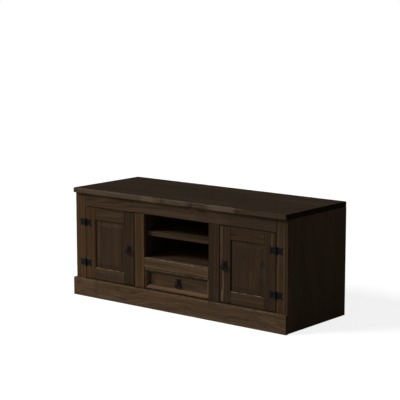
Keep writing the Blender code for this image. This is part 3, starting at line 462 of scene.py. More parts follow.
def domes(places, radius, rise, facing, around=12, squareness=0.0):
    """Nail or screw heads: low domes, each a stack of rings whose radius falls as a cosine while its
    height climbs as a sine, from a rim sunk a little. facing is the number of the axis that they look
    along, and the way on it. squareness pulls the round outline towards a square, as on a forged head."""
    sink, top = 0.0006, np.pi / 2 * 0.88
    turn = np.linspace(0, 2 * np.pi, around, endpoint=False) + np.pi / around
    climb = np.linspace(0, top, 5)
    width = radius * np.concatenate([[1.0], np.cos(climb)])
    height = np.concatenate([[-sink], np.sin(climb) * rise])
    square = 1 / np.maximum(np.abs(np.cos(turn)), np.abs(np.sin(turn)))
    outline = 1 + squareness * (square - 1)
    axis, way = facing
    one, two = AXES_ACROSS[axis]
    rings = np.zeros((len(width), around, 3))
    rings[..., one] = width[:, None] * outline * np.cos(turn)
    rings[..., two] = width[:, None] * outline * np.sin(turn)
    rings[..., axis] = height[:, None] * way
    return skins([rings + np.array(place) for place in places])


plywood("back_panel", "x", (0.062, 0.043, 0.027, 1), (0.036, 0.024, 0.015, 1))
steel = metal("nail_steel", (0.16, 0.15, 0.14), roughness=0.42, mottle=0.3)
STEEL_NAIL = dict(radius=0.0022, rise=0.0005, facing=(1, 1))
NAIL_EDGE, DIVIDER_LINE = 0.007, 0.228
low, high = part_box("back_panel")
along = np.linspace(low.x + 0.03, high.x - 0.03, 10)
up = np.linspace(low.z + 0.05, high.z - 0.05, 4)
nail_places = [(x, high.y, z) for z in (low.z + NAIL_EDGE, high.z - NAIL_EDGE) for x in along]
nail_lines = (low.x + NAIL_EDGE / 2, high.x - NAIL_EDGE / 2, -DIVIDER_LINE, DIVIDER_LINE)
nail_places += [(x, high.y, z) for x in nail_lines for z in up]
surface("back_panel_nails", *domes(nail_places, **STEEL_NAIL), steel, "carcass", "zinc")


# Drawer runners: two plain strips of unstained pine in the grooves of the drawer's sides, each glued to
# its divider.

RAW = dict(pale=(0.50, 0.335, 0.175, 1), dark=(0.31, 0.175, 0.075, 1), sapwood=(0.55, 0.42, 0.26, 1),
           smoke=(0.3, 0.2, 0.12, 1), gathered=(0.36, 0.23, 0.12, 1))
for name in ("left_drawer_runner", "right_drawer_runner"):
    pine_node(name, "y", colours=RAW)


# Face frame: stiles and rails of planed pine on the carcass's front edges. The side stiles run from the
# floor to the top, and every arris is rubbed a little uneven by hand.

def wandering(along, wave, seed):
    """A smooth random line from about -1 to 1: the mean of seven cosine waves of chance length and phase."""
    chance = np.random.default_rng(seed)
    pace = 2 * np.pi / (wave * chance.uniform(0.5, 2.2, 7))
    start = chance.uniform(0, 2 * np.pi, 7)
    return np.cos(along[:, None] * pace + start).sum(axis=1) / 3.2


def rounded_section(half_width, half_depth, arris):
    """Points round a rectangle with rounded corners, for each place along a board: half_width and
    half_depth have one value for each place, and arris four, one for each corner. The flats keep two
    points close to each corner, so that they shade flat."""
    turn = np.linspace(0, np.pi / 2, 5)
    corners = []
    for number, (across, deep) in enumerate(((1, 1), (-1, 1), (-1, -1), (1, -1))):
        radius = arris[:, number, None]
        angle = turn + number * np.pi / 2
        corners.append(np.stack([across * (half_width[:, None] - radius) + radius * np.cos(angle),
                                 deep * (half_depth[:, None] - radius) + radius * np.sin(angle)], axis=-1))
    parts = []
    for number in range(4):
        start, end = corners[number][:, -1:], corners[(number + 1) % 4][:, :1]
        share = np.array([0.04, 0.35, 0.65, 0.96])[None, :, None]
        parts += [corners[number], start + (end - start) * share]
    return np.roll(np.concatenate(parts, axis=1), 2, axis=1)


def planed_board(node, run, material, seed, arris=(0.0014,) * 4, uneven=0.4, step=0.009, nicks=0,
                 end_arris=0.0012):
    """A board in a CAD board's place: its rounded section is carried along the grain, the radius of each
    arris wanders, and small nicks widen it here and there. The ends are rounded by drawing the section
    in as it nears them. The corners are numbered round the section from high width and high depth."""
    low, high = (np.array(corner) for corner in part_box(node))
    axis = "xyz".index(run)
    one, two = AXES_ACROSS[axis]
    middle, half = (low + high) / 2, (high - low) / 2
    bend = np.linspace(0, np.pi / 2, 4)
    draw_in = end_arris * (1 - np.sin(bend))
    near_end = end_arris * (1 - np.cos(bend))
    stations = np.linspace(-half[axis] + end_arris, half[axis] - end_arris,
                           max(3, int(2 * half[axis] / step)))[1:-1]
    along = np.concatenate([-half[axis] + near_end, stations, half[axis] - near_end[::-1]])
    inset = np.concatenate([draw_in, np.zeros(len(stations)), draw_in[::-1]])
    radii = np.stack([base * (1 + uneven * wandering(along, 0.09, seed * 10 + corner))
                      for corner, base in enumerate(arris)], axis=1)
    chance = np.random.default_rng(seed)
    for _ in range(nicks):
        where, corner = chance.uniform(along[0], along[-1]), chance.integers(0, 4)
        size, width = chance.uniform(0.3, 1.0) * 0.002, chance.uniform(0.003, 0.009)
        radii[:, corner] += size * np.exp(-((along - where) / width) ** 2)
    radii = np.clip(radii, 0.0004, min(half[one], half[two]) * 0.8)
    flat = rounded_section(half[one] - inset, half[two] - inset, radii)
    rings = np.zeros(flat.shape[:2] + (3,))
    rings[..., one] = middle[one] + flat[..., 0]
    rings[..., two] = middle[two] + flat[..., 1]
    rings[..., axis] = middle[axis] + along[:, None]
    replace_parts(surface(node + "_planed", *skins([rings]), material, "carcass", "stained_pine"), node)


# The right-hand boards' lower shades, and the top rail's widest dark patch at its right end, darken the
# stain partly as painted shade for light that falls off to the right. The top rail's high shade lightens it,
# partly as painted light against the slab's shadow. The mid stiles' wide reach darkens their edges, partly
# as painted shade in the door gaps.
frame_boards = (
    ("left_side_stile", "z", dict(colours=TAWNY, shade=1.05, pith=(0, 0.2, 0.03), ring=0.0055)),
    ("right_side_stile", "z", dict(
        colours=dict(UMBER, sapwood=(0.080, 0.049, 0.023, 1)), shade=0.76, pith=(0, -0.3, 0.02), ring=0.005,
        pale_patches=((0.1, -0.025, 0.45, 0.006, 0.6), (0.0, 0.011, 0.5, 0.006, 0.5)))),
    ("left_mid_stile", "z", dict(colours=TAWNY, shade=0.98, pith=(0, -0.2, 0.05), ring=0.005, reach=0.0034)),
    ("right_mid_stile", "z", dict(shade=0.70, pith=(0, 0.2, 0.03), ring=0.0045, reach=0.0036,
                                  dark_patches=((-0.17, 0.02, 0.05, 0.03, 0.6),))),
    ("top_rail", "x", dict(
        colours=dict(UMBER, smoke=(0.028, 0.0185, 0.0120, 1)), shade=1.38, pith=(0, 0.03, 0.09),
        knots=((0.113, 0.01, 0.007),),
        dark_patches=((0.2, 0.0, 0.12, 0.03, 0.5), (0.52, 0.0, 0.28, 0.06, 0.95)))),
    ("centre_rail", "x", dict(colours=HONEY, pith=(0, -0.02, 0.06), rub_reach=0.0045,
                              rubbed=((-0.22, -0.256, 0.262), (0.22, -0.249, 0.279)))),
    ("bottom_rail", "x", dict(pith=(0, 0.04, 0.05))),
)
for number, (name, run, looks) in enumerate(frame_boards):
    planed_board(name, run, pine(name, run, soft_edges=0, **looks), seed=20 + number, nicks=4)


# Plinth: one long board in front of the frame's foot, its upper edge rounded over. It shows flat-sawn
# figure, a few knots, and bands where the stain took lighter or darker.

# The pale rubbed top arris is partly a painted highlight where the rounded edge catches the light. The
# widest dark patch makes the right half darker.
plinth_wood = pine(
    "plinth_board", "x",
    colours=dict(pale=(0.078, 0.0480, 0.0265, 1), dark=(0.034, 0.0210, 0.0122, 1),
                 worn=(0.105, 0.070, 0.043, 1), smoke=(0.040, 0.0280, 0.0185, 1)),
    pith=(0, 0.0, 0.035), ring=0.0075, wander=0.09, soft_edges=0, rub_reach=0.007,
    rubbed=((-0.75, -0.278, 0.088), (0.72, -0.262, 0.106)),
    knots=((-0.70, 0.025, 0.006, 0.5), (-0.67, -0.02, 0.005, 0.5), (-0.46, 0.028, 0.012, 0.2),
           (0.08, -0.005, 0.014, 0.15), (0.53, 0.004, 0.012, 0.15)),
    pale_patches=((-0.62, 0.03, 0.06, 0.02, 0.35), (-0.48, -0.03, 0.10, 0.010, 0.5),
                  (-0.40, -0.012, 0.05, 0.006, 0.5), (-0.27, 0.03, 0.1, 0.008, 0.4),
                  (0.25, -0.03, 0.10, 0.012, 0.35), (0.62, 0.02, 0.06, 0.015, 0.3)),
    dark_patches=((-0.56, 0.0, 0.016, 0.07, 0.6), (-0.05, 0.0, 0.012, 0.05, 0.5),
                  (0.085, -0.02, 0.014, 0.03, 0.7), (0.45, 0.0, 0.4, 0.1, 0.36),
                  (0.02, 0.022, 0.06, 0.005, 0.7), (0.27, 0.010, 0.07, 0.006, 0.8),
                  (0.44, 0.034, 0.08, 0.004, 0.7), (0.52, 0.005, 0.08, 0.014, 0.7),
                  (-0.10, -0.02, 0.03, 0.012, 0.4)))
planed_board("plinth_board", "x", plinth_wood, seed=41, nicks=8, uneven=0.2, step=0.006,
             arris=(0.0015, 0.006, 0.002, 0.001), end_arris=0.002)


# Top board: staves glued edge to edge along the cabinet, planed and waxed, flush at the sides and standing
# out over the front. Its front edge is rubbed pale in places and shows a few knots. The pale rubbed upper
# arris and the long pale band along the left of the front edge are partly a painted highlight, where the
# rounded edge catches the light.

top_wood = pine(
    "top_board", "top",
    colours=dict(pale=(0.0284, 0.0184, 0.0104, 1), dark=(0.0134, 0.0087, 0.0050, 1),
                 worn=(0.098, 0.069, 0.046, 1), sapwood=(0.098, 0.070, 0.046, 1)),
    stave=0.091, ring=0.0046, reach=0.001, soft_edges=0, gloss=0.0015, glue=0.5, rub_reach=0.007,
    rubbed=((-0.73, -0.278, 0.602), (0.46, -0.264, 0.617)),
    knots=((-0.075, -0.274, 0.010), (0.115, -0.274, 0.008), (0.423, -0.274, 0.006), (-0.35, 0.1, 0.009),
           (0.3, -0.06, 0.008), (0.55, 0.14, 0.007)),
    pale_patches=((-0.3, -0.273, 0.7, 0.014, 0.62), (-0.18, -0.272, 0.07, 0.015, 1.0),
                  (0.31, -0.272, 0.11, 0.015, 0.85), (-0.55, -0.272, 0.2, 0.014, 0.75),
                  (0.55, -0.273, 0.3, 0.012, 0.25)))
planed_board("top_board", "x", top_wood, seed=52, nicks=8, uneven=0.18, step=0.005,
             arris=(0.003, 0.0065, 0.004, 0.003), end_arris=0.003)


# Doors: stiles and rails grooved for a raised panel, with a small chamfer round the opening. The panels
# are solid staves, hollowed down to a thin tongue round a flat field, and get their own fuller shape here.

# On the bottom rails, the pale rubbed strip along the chamfer above each is a painted highlight where the
# chamfer faces up into the light. The right door's boards have lower shades, partly painted shade for light
# that falls off to the right. The lock stiles' wide reach darkens their edges, partly as painted shade in
# the gaps beside them.
rubbed_umber = dict(UMBER, worn=HONEY["worn"])
door_boards = (
    ("left_door_hinge_stile", "z", dict(colours=TAWNY, shade=0.89, pith=(0, -0.2, 0.03), ring=0.005)),
    ("left_door_lock_stile", "z", dict(shade=0.78, reach=0.0055, pith=(0, 0.2, 0.04))),
    ("left_door_top_rail", "x", dict(shade=1.05, streaks=0.6, pith=(0, 0.03, 0.07))),
    ("left_door_bottom_rail", "x", dict(
        colours=rubbed_umber, shade=1.30, pith=(0, -0.03, 0.06), rub_reach=0.007,
        rubbed=((-0.59, -0.2517, 0.160), (-0.36, -0.244, 0.174)))),
    ("right_door_hinge_stile", "z", dict(
        colours=dict(UMBER, sapwood=(0.085, 0.050, 0.022, 1)), shade=0.72, pith=(0, -0.3, 0.02), ring=0.0055,
        pale_patches=((0.16, 0.010, 0.05, 0.008, 0.55),))),
    ("right_door_lock_stile", "z", dict(
        colours=dict(UMBER, sapwood=(0.100, 0.066, 0.034, 1)), shade=0.68, pith=(0, -0.15, 0.03),
        reach=0.0045,
        pale_patches=((0.13, -0.0235, 0.15, 0.010, 0.5), (-0.09, -0.012, 0.12, 0.006, 0.75),
                      (-0.17, -0.018, 0.05, 0.009, 0.95)))),
    ("right_door_top_rail", "x", dict(shade=0.86, streaks=0.45, pith=(0, -0.02, 0.08))),
    ("right_door_bottom_rail", "x", dict(
        colours=rubbed_umber, shade=0.95, pith=(0, 0.02, 0.05), rub_reach=0.007,
        rubbed=((0.36, -0.2517, 0.160), (0.59, -0.244, 0.174)))),
)
for name, run, looks in door_boards:
    pine_node(name, run, **looks)


def raised_panel(name):
    """A raised and fielded panel as a stack of rectangles, each drawn in from the last and set at its own
    depth: the back, the tongue, a step, a bevel that rises as the square of its width, a tiny round at
    its head, and the flat field."""
    tongue_width, tongue_depth, step, soft = 0.0065, 0.0054, 0.0028, 0.0006
    bevel_width, proud, points_a_side = 0.025, 0.0012, 14
    low, high = (np.array(corner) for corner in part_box(name))
    back, front = high[1], low[1] - proud
    tongue = back - tongue_depth
    foot = tongue - step
    profile = [(0.012, back), (soft, back), (0.0, back - soft), (0.0, tongue + soft), (soft, tongue),
               (tongue_width * 0.5, tongue), (tongue_width, tongue),
               (tongue_width + 0.0004, tongue - soft), (tongue_width + 0.0010, foot + soft)]
    profile += [(tongue_width + bevel_width * share, foot + (front + soft - foot) * share ** 2)
                for share in (0.08, 0.25, 0.42, 0.56, 0.68, 0.79, 0.89, 0.97)]
    profile += [(tongue_width + bevel_width + run, front + drop) for run, drop in (
        (0.0, 0.0005), (0.0004, 0.0002), (0.0009, 0.00006), (0.0018, 0.0), (0.04, 0.0))]
    inset, depth = np.array(profile).T[:, :, None]
    share = np.linspace(-1, 1, points_a_side + 1)[:-1]
    flat = np.ones(points_a_side)
    outline_x = np.roll(np.concatenate([share, flat, -share, -flat]), points_a_side // 2)
    outline_z = np.roll(np.concatenate([-flat, share, flat, -share]), points_a_side // 2)
    middle, half = (low + high) / 2, (high - low) / 2
    return np.stack([middle[0] + outline_x * (half[0] - inset), depth + 0 * outline_x,
                     middle[2] + outline_z * (half[2] - inset)], axis=-1)


PANEL_LOOKS = {
    # The left door panel's two pale patches are painted highlights: bands on its top and left bevels, which
    # face the light. The right door panel's lower shade is partly painted shade, for light that falls off to
    # the right.
    "left_door": dict(shade=0.84, contrast=0.3, streaks=0.35, pith=(0, 0.05, 0.06), stave=0.118,
                      pale_patches=((0.113, 0.0, 0.012, 0.11, 0.14), (0.0, -0.087, 0.13, 0.012, 0.14)),
                      dark_patches=((-0.09, -0.04, 0.05, 0.03, 0.35), (0.06, 0.05, 0.05, 0.02, 0.3))),
    "right_door": dict(shade=0.72, contrast=0.3, streaks=0.35, pith=(0, 0.07, 0.07), stave=0.24,
                       knots=((0.053, -0.028, 0.008), (0.03, 0.094, 0.009)),
                       dark_patches=((0.01, 0.100, 0.08, 0.017, 0.9), (0.05, -0.028, 0.016, 0.012, 0.6))),
}
for body, looks in PANEL_LOOKS.items():
    name = body + "_panel"
    piece = surface(name + "_fielded", *skins([raised_panel(name)]), pine(name, "z", **looks), body,
                    "stained_pine", smooth=20)
    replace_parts(piece, name)


# Hinges: butterfly leaves cut from sheet iron, hammered and blackened, with rolled knuckles round a loose
# pin whose ends are domed. Three hammered nails hold each leaf.

black_iron = metal("black_iron", (0.0053, 0.0055, 0.0057), roughness=0.46, mottle=0.35, bump=0.0005,
                   grain=300)
IRON_THICKNESS, SEAT_GAP = 0.0018, 0.0003


def both_ways(*steps):
    """Steps from 0 to 1, mirrored to run from -1 to 1."""
    return np.array([-step for step in steps[:0:-1]] + list(steps))


def hammered_plate(x, z, near_side, near_end, rear_y, depth, seed):
    """A thin plate of iron over a grid of places x and z, as sections that each run over the front and
    back again. near_side and near_end go from 0 on the plate's rim to 1 within it, and the front falls
    back there by 1 minus the root of their product. It is also pushed back by a smooth random depth, as a
    hammer leaves it: the mean of waves in many directions."""
    chance = np.random.default_rng(seed)
    total = np.zeros(x.shape)
    for _ in range(9):
        angle, pace = chance.uniform(0, np.pi), 2 * np.pi / chance.uniform(0.004, 0.011)
        total += np.cos((x * np.cos(angle) + z * np.sin(angle)) * pace + chance.uniform(0, 6.28))
    dent = depth * (0.5 + 0.5 * np.clip(total / 3.5, -1, 1))
    soft = 0.0006 * (1 - np.sqrt(np.clip(near_side * near_end[:, None], 0, 1)))
    front = np.stack([x, rear_y - IRON_THICKNESS + soft + dent, z], axis=-1)
    back = np.stack([x, np.full_like(x, rear_y), z], axis=-1)
    return np.concatenate([front, back[:, ::-1]], axis=1)


def leaf_rings(axis_x, way, middle, rear_y, seed):
    """A flared leaf as sections carried from the barrel to the notched end. The half height draws in along
    one parabola to the waist and flares along another. way is the side of the barrel that it lies on."""
    root, reach, notch, waist_at = 0.0044, 0.043, 0.006, 0.45
    root_half, waist_half, tip_half = 0.0198, 0.0164, 0.0218
    share = np.concatenate([[0.0, 0.015], np.linspace(0.05, 0.95, 18), [0.985, 1.0]])
    to_waist = np.clip((waist_at - share) / waist_at, 0, None)
    past_waist = np.clip((share - waist_at) / (1 - waist_at), 0, None)
    half = waist_half + (root_half - waist_half) * to_waist ** 2 + (tip_half - waist_half) * past_waist ** 2
    across = both_ways(0.0, 0.12, 0.3, 0.5, 0.7, 0.86, 0.96, 1.0)
    tip = reach - notch * (1 - np.abs(across))
    x = axis_x + way * (root + share[:, None] * (tip - root))
    near_side = np.minimum((1 - np.abs(across)) / 0.14, 1)
    near_end = np.minimum(np.minimum(share, 1 - share) / 0.05, 1)
    return hammered_plate(x, middle + across * half[:, None], near_side, near_end, rear_y, 0.00035, seed)


def barrel_rings(axis, low, high, dome_low, dome_high):
    """A rolled knuckle as rings up the barrel's axis, with softened ends, and the pin's domed head past an
    end that has one."""
    radius, soft = 0.004, 0.0005
    head = [(0.0004, 0.0036), (0.0012, 0.0034), (0.0019, 0.0023), (0.0022, 0.0008)]
    end = [(0.0, radius - soft), (soft * 0.3, radius - soft * 0.3), (soft, radius)]
    profile = [(low + run, width) for run, width in end] + [(high - run, width) for run, width in end[::-1]]
    if dome_low:
        profile = [(low - rise, width) for rise, width in head[::-1]] + profile
    if dome_high:
        profile += [(high + rise, width) for rise, width in head]
    height, width = np.array(profile).T[:, :, None]
    turn = np.linspace(0, 2 * np.pi, 24, endpoint=False) + np.pi / 24
    return np.stack([axis[0] + width * np.cos(turn), axis[1] + width * np.sin(turn), height + 0 * turn],
                    axis=-1)


def tab_rings(axis_x, way, low, high, rear_y):
    """The strip of a leaf that reaches in to its knuckle, as a bar of four corners."""
    x = axis_x + way * np.array([[0.0], [0.0048]])
    front_y = rear_y - IRON_THICKNESS
    corner = np.array([(front_y, low), (front_y, high), (rear_y, high), (rear_y, low)])
    return np.stack([x + 0 * corner[:, 0], corner[:, 0] + 0 * x, corner[:, 1] + 0 * x], axis=-1)


SIDES = (("left", -1), ("right", 1))
BARREL_HALF, KNUCKLE_PLAY, TAB_INSET = 0.020, 0.0002, 0.0004
THIRD = BARREL_HALF / 3
OUTER_KNUCKLES = ((-BARREL_HALF, -THIRD - KNUCKLE_PLAY, True, False),
                  (THIRD + KNUCKLE_PLAY, BARREL_HALF, False, True))
MIDDLE_KNUCKLE = ((KNUCKLE_PLAY - THIRD, THIRD - KNUCKLE_PLAY, False, False),)
FORGED_NAIL = dict(facing=(1, -1), around=8, squareness=0.35)
LEAF_NAILS = ((0.0128, 0.0), (0.0338, 0.0140), (0.0338, -0.0140))
LEAF_NAIL_DEPTH = 0.0015
joint_places = {joint["name"]: joint.get("pos_m") for joint in frame["joints"]}
leaf_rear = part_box("left_side_stile")[0].y - SEAT_GAP
seed = 60
for word, side in SIDES:
    axis = joint_places[word + "_door_hinge"]
    for level in ("lower", "upper"):
        for leaf, way, body, spans in (("frame", side, "carcass", OUTER_KNUCKLES),
                                       ("door", -side, word + "_door", MIDDLE_KNUCKLE)):
            seed += 1
            name = word + "_" + level + "_" + leaf + "_leaf"
            low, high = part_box(name)
            middle = (low.z + high.z) / 2
            stacks = [leaf_rings(axis[0], way, middle, leaf_rear, seed)]
            for start, end, *domed in spans:
                stacks.append(barrel_rings(axis, middle + start, middle + end, *domed))
                stacks.append(tab_rings(axis[0], way, middle + start + TAB_INSET, middle + end - TAB_INSET,
                                        leaf_rear))
            piece = surface(name + "_forged", *skins(stacks), black_iron, body, "black_iron", smooth=40)
            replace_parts(piece, name)
            heads = [(axis[0] + way * x, leaf_rear - LEAF_NAIL_DEPTH, middle + z) for x, z in LEAF_NAILS]
            surface(name + "_nails", *domes(heads, radius=0.0026, rise=0.0011, **FORGED_NAIL), black_iron,
                    body, "black_iron")


# Catches: a zinc-plated magnetic catch behind each mid stile and a strike plate on each door's back, held
# by small screws.

STRIKE_SCREW = dict(radius=0.0018, rise=0.0002, facing=(1, 1))
SCREW_EDGE = 0.006
zinc = metal("bright_zinc", (0.50, 0.50, 0.49), roughness=0.34, mottle=0.12, bump=0.0001)
for word, _ in SIDES:
    finish_node(word + "_magnetic_catch", zinc)
    finish_node(word + "_strike_plate", zinc)
    low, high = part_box(word + "_strike_plate")
    screws = [((low.x + high.x) / 2, high.y, z) for z in (low.z + SCREW_EDGE, high.z - SCREW_EDGE)]
    surface(word + "_strike_screws", *domes(screws, **STRIKE_SCREW), zinc, word + "_door", "zinc")


# Drawer: a front board with four mitred mouldings round its field, and a box of unstained pine, grooved
# for the runners, with a plywood bottom.

# The dark patch at the left end of the drawer's field is a painted shadow, as the left moulding would cast
# it.
pine_node("drawer_front", "x", colours=dict(HONEY, smoke=(0.022, 0.015, 0.0095, 1)), shade=0.72,
          pith=(0, 0.0, 0.08), dark_patches=((-0.20, 0.0, 0.045, 0.09, 0.8),))
for name, run in (("drawer_left_side", "y"), ("drawer_right_side", "y"), ("drawer_back", "x")):
    pine_node(name, run, colours=RAW)
plywood("drawer_bottom", "top", (0.40, 0.28, 0.16, 1), (0.29, 0.19, 0.10, 1))


def moulding_rings(middle, length, turn):
    """A moulding as its profile carried along its length, where a point's run to each mitre is shorter by
    its distance from the outer edge. turn, in quarter turns, sets which side of the front it lies on."""
    width, margin, depth, lip, hollow, mitre_gap = 0.0185, 0.005, 0.020, 0.0065, 0.0007, 0.00015
    cove = [(margin + (width - margin) * s, depth - (depth - lip) * s - hollow * np.sin(np.pi * s))
            for s in (0.02, 0.2, 0.4, 0.6, 0.8, 0.98)]
    front = [(0.0, depth - 0.0008), (0.0003, depth - 0.0002), (0.0010, depth), (margin - 0.001, depth),
             (margin - 0.0003, depth - 0.0001)] + cove + [(width, lip - 0.0003)]
    rear = [(inward, 0.0) for inward, _ in front[::-1]]
    inward, stands = np.array(front + rear).T
    along = np.linspace(-1, 1, 25)[:, None] * (length / 2 - mitre_gap - inward)
    up = -inward + 0 * along
    quarter = turn * np.pi / 2
    return np.stack([middle[0] + along * np.cos(quarter) + up * np.sin(quarter),
                     middle[1] - stands + 0 * along,
                     middle[2] - along * np.sin(quarter) + up * np.cos(quarter)], axis=-1)


moulding_colours = dict(HONEY, worn=(0.118, 0.082, 0.052, 1))
low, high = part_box("drawer_front")
middle_z = (low.z + high.z) / 2
width, height = high.x - low.x, high.z - low.z
# Each moulding's stain is scaled by the side it lies on, as painted light and shade: the bottom one, which
# faces up, is painted lighter, and the top, right and left ones darker.
for turn, (word, run, length, x, z, shade) in enumerate((
        ("top", "x", width, 0, high.z, 0.62), ("right", "z", height, high.x, middle_z, 0.8),
        ("bottom", "x", width, 0, low.z, 1.05), ("left", "z", height, low.x, middle_z, 0.55))):
    name = "drawer_" + word + "_moulding"
    wood = pine(name, run, colours=moulding_colours, pith=(0, 0.05, 0.02), reach=0.0008, soft_edges=0,
                shade=shade, rubbed=((-0.23, -0.252, 0.1), (0.23, -0.2455, 0.23)), rub_reach=0.006)
    rings = moulding_rings((x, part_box(name)[1].y, z), length, turn)
    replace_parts(surface(name + "_coved", *skins([rings]), wood, "drawer", "stained_pine", smooth=25), name)


# Ring pulls: a hammered fishtail plate with a forged eye, nailed at its four corners, and an oval ring
# whose wire swells towards its foot.

def plate_rings(middle_x, middle_z, rear_y, seed):
    """A fishtail plate as sections carried up it. Its half width draws in to a waist and flares as one
    parabola, and both ends are notched by shortening the run towards the middle line."""
    half_height, notch, waist_half, tip_half = 0.024, 0.004, 0.0132, 0.0194
    share = np.concatenate([[-1.0, -0.98], np.linspace(-0.93, 0.93, 21), [0.98, 1.0]])
    half = waist_half + (tip_half - waist_half) * share ** 2
    across = both_ways(0.0, 0.15, 0.35, 0.55, 0.75, 0.9, 0.97, 1.0)
    run = half_height - notch * (1 - np.abs(across))
    near_side = np.minimum((1 - np.abs(across)) / 0.12, 1)
    near_end = np.minimum((1 - np.abs(share)) / 0.06, 1)
    return hammered_plate(middle_x + half[:, None] * across, middle_z + share[:, None] * run, near_side,
                          near_end, rear_y, 0.0003, seed)


def tube_faces(rings, first):
    """Faces of a closed tube: a stack of closed rings whose last one meets the first."""
    rows, columns = rings.shape[:2]
    index = np.arange(rows * columns).reshape(rows, columns) + first
    right, below = np.roll(index, -1, axis=1), np.roll(index, -1, axis=0)
    return np.stack([index, right, np.roll(right, -1, axis=0), below], axis=-1).reshape(-1, 4)


def forged_eye(eye):
    """The forged eye: an oval wire section turned round an axis along X."""
    inner, outer, half_width = 0.00283, 0.00463, 0.0029
    round_way = np.linspace(0, 2 * np.pi, 28, endpoint=False)[:, None]
    section = np.linspace(0, 2 * np.pi, 12, endpoint=False)
    radius = (inner + outer) / 2 + (outer - inner) / 2 * np.cos(section)
    return np.stack([eye[0] + half_width * np.sin(section) + 0 * round_way,
                     eye[1] + radius * np.cos(round_way), eye[2] + radius * np.sin(round_way)], axis=-1)


def eye_neck(eye, plate_front):
    """The neck behind the eye: an oval that spreads as a square from the eye's back into the plate."""
    turn = np.linspace(0, 2 * np.pi, 16, endpoint=False) + np.pi / 16
    share = np.linspace(0, 1, 6)[:, None]
    y = (eye[1] + 0.0036) * (1 - share) + (plate_front + 0.0006) * share
    return np.stack([eye[0] + (0.0026 + 0.0022 * share ** 2) * np.cos(turn), y + 0 * turn,
                     eye[2] + (0.0034 + 0.0016 * share ** 2) * np.sin(turn)], axis=-1)


def hanging_ring(eye):
    """The oval ring: a round wire carried round an ellipse that hangs from the eye, its radius growing
    towards the foot, with the flats of the hammer as slow waves along it."""
    half_x, half_z, wire, swell, flats = 0.02075, 0.01675, 0.00225, 1.3, 0.00016
    turn = np.linspace(0, 2 * np.pi, 96, endpoint=False)[:, None]
    section = np.linspace(0, 2 * np.pi, 14, endpoint=False)
    drop = (1 - np.cos(turn)) / 2
    radius = wire * (1 + (swell - 1) * drop ** 2)
    radius = radius - flats * drop * (1 + np.cos(11 * turn + 2 * np.sin(section)))
    away_x, away_z = half_z * np.sin(turn), half_x * np.cos(turn)
    size = np.sqrt(away_x ** 2 + away_z ** 2)
    return np.stack([eye[0] + half_x * np.sin(turn) + radius * np.cos(section) * away_x / size,
                     eye[1] + radius * np.sin(section),
                     eye[2] - 2 * half_z * drop + radius * np.cos(section) * away_z / size], axis=-1)


EYE_STANDOFF, EYE_RISE = 0.006, 0.005
PULL_NAIL_ACROSS, PULL_NAIL_UP, PULL_NAIL_DEPTH = 0.012, 0.0185, 0.0016
for number, body in enumerate(("left_door", "right_door", "drawer")):
    eye = joint_places[body + "_ring_swing"]
    plate_front = eye[1] + EYE_STANDOFF
    rear_y, plate_z = plate_front + IRON_THICKNESS, eye[2] - EYE_RISE
    plate = plate_rings(eye[0], plate_z, rear_y, seed=80 + number)
    points, faces = skins([plate, eye_neck(eye, plate_front)])
    wire = forged_eye(eye)
    faces.append(tube_faces(wire, len(points)))
    piece = surface(body + "_pull_plate_forged", np.concatenate([points, wire.reshape(-1, 3)]), faces,
                    black_iron, body, "black_iron", smooth=40)
    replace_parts(piece, body + "_pull_plate")
    heads = [(eye[0] + across, rear_y - PULL_NAIL_DEPTH, plate_z + up)
             for across in (-PULL_NAIL_ACROSS, PULL_NAIL_ACROSS) for up in (-PULL_NAIL_UP, PULL_NAIL_UP)]
    surface(body + "_pull_nails", *domes(heads, radius=0.0019, rise=0.0009, **FORGED_NAIL), black_iron,
            body, "black_iron")
    ring = hanging_ring(eye)
    piece = surface(body + "_pull_ring_forged", ring.reshape(-1, 3), [tube_faces(ring, 0)], black_iron,
                    body + "_ring", "black_iron")
    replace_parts(piece, body + "_pull_ring")


# Studio: a pale floor that keeps the cabinet's shadow, a soft key light from the upper left, a weak wide
# fill from the front, an even pale surround, and a camera at the picture's viewing angle.

def seen_directly(tree):
    """1 for what the camera sees, itself or in a reflection or through glass, and 0 for bounced light."""
    path = put("LightPath", tree=tree)
    return work("MAXIMUM", Field(path, "Is Camera Ray"),
                work("MAXIMUM", Field(path, "Is Glossy Ray"), Field(path, "Is Transmission Ray")))


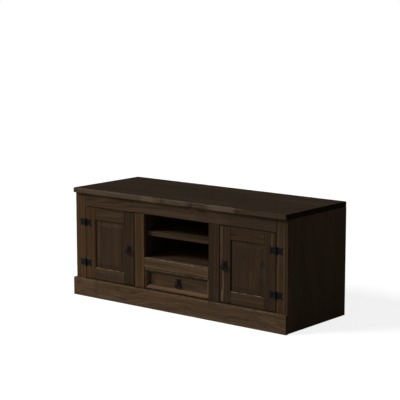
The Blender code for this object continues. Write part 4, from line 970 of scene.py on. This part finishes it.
def pale_floor():
    """White to the camera and in reflections, with the shadow still in it; a plain pale floor to the
    light that bounces."""
    material, tree, shader = new_material("pale_floor")
    tree.nodes.remove(shader)
    speck = cloud(Field(put("TexCoord", tree=tree), "Object"), 9)
    plain = put("BsdfDiffuse", {"Color": tint(speck, (0.52, 0.52, 0.52, 1), (0.56, 0.56, 0.55, 1))})
    white = put("BsdfDiffuse", {"Color": (0.30, 0.30, 0.30, 1)}, tree)
    glow = put("Emission", {"Color": (1, 1, 1, 1), "Strength": 0.84}, tree)
    both = put("AddShader", {0: Field(white), 1: Field(glow)})
    mixed = put("MixShader", {0: seen_directly(tree), 1: Field(plain), 2: Field(both)})
    feed(tree.nodes["Material Output"].inputs["Surface"], Field(mixed))
    return material


REACH, FLOOR_DROP = 40.0, 0.0002
floor_mesh = bpy.data.meshes.new("floor")
floor_mesh.from_pydata([(-REACH, -REACH, 0), (REACH, -REACH, 0), (REACH, REACH, 0), (-REACH, REACH, 0)], [],
                       [(0, 1, 2, 3)])
floor_mesh.materials.append(pale_floor())
floor = new_object("floor", floor_mesh)
floor.location.z = -FLOOR_DROP
floor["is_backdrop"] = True

world = bpy.data.worlds.new("surround")
bpy.context.scene.world = world
world.use_nodes = True
tree = world.node_tree
even, white = (Field(put("Background", {"Color": (1, 1, 1, 1), "Strength": strength}, tree))
               for strength in (0.12, 1.0))
mixed = put("MixShader", {0: seen_directly(tree), 1: even, 2: white})
feed(tree.nodes["World Output"].inputs["Surface"], Field(mixed))

for name, strength, spread, towards_light in (("soft_key_light", 2.9, 20, (-0.56, -0.59, 0.588)),
                                              ("front_fill_light", 0.65, 50, (0.05, -0.99, 0.08))):
    sun = bpy.data.lights.new(name, "SUN")
    sun.energy = strength
    sun.angle = math.radians(spread)
    lamp = new_object(name, sun)
    lamp.rotation_euler = Vector(towards_light).to_track_quat("Z", "Y").to_euler()

YAW, PITCH, FOCAL_PIXELS, PICTURE_PIXELS = -0.6806, 0.1592, 1375.26, 400
CAMERA_PLACE = (4.6117, -5.7431, 1.7618)
camera = bpy.data.cameras.new("camera")
camera.sensor_width = 36.0
camera.lens = FOCAL_PIXELS / PICTURE_PIXELS * camera.sensor_width
camera.clip_end = 200
forward = Vector((math.sin(YAW) * math.cos(PITCH), math.cos(YAW) * math.cos(PITCH), -math.sin(PITCH)))
right = Vector((math.cos(YAW), -math.sin(YAW), 0))
turn = Matrix((right, right.cross(forward), -forward)).transposed().to_4x4()
viewer = new_object("camera", camera)
viewer.matrix_world = Matrix.Translation(CAMERA_PLACE) @ turn
bpy.context.scene.camera = viewer
bpy.context.scene.view_settings.view_transform = "Standard"


# Sizes: the finished model's box; the part's box was taken at the start.

dressed_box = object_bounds()
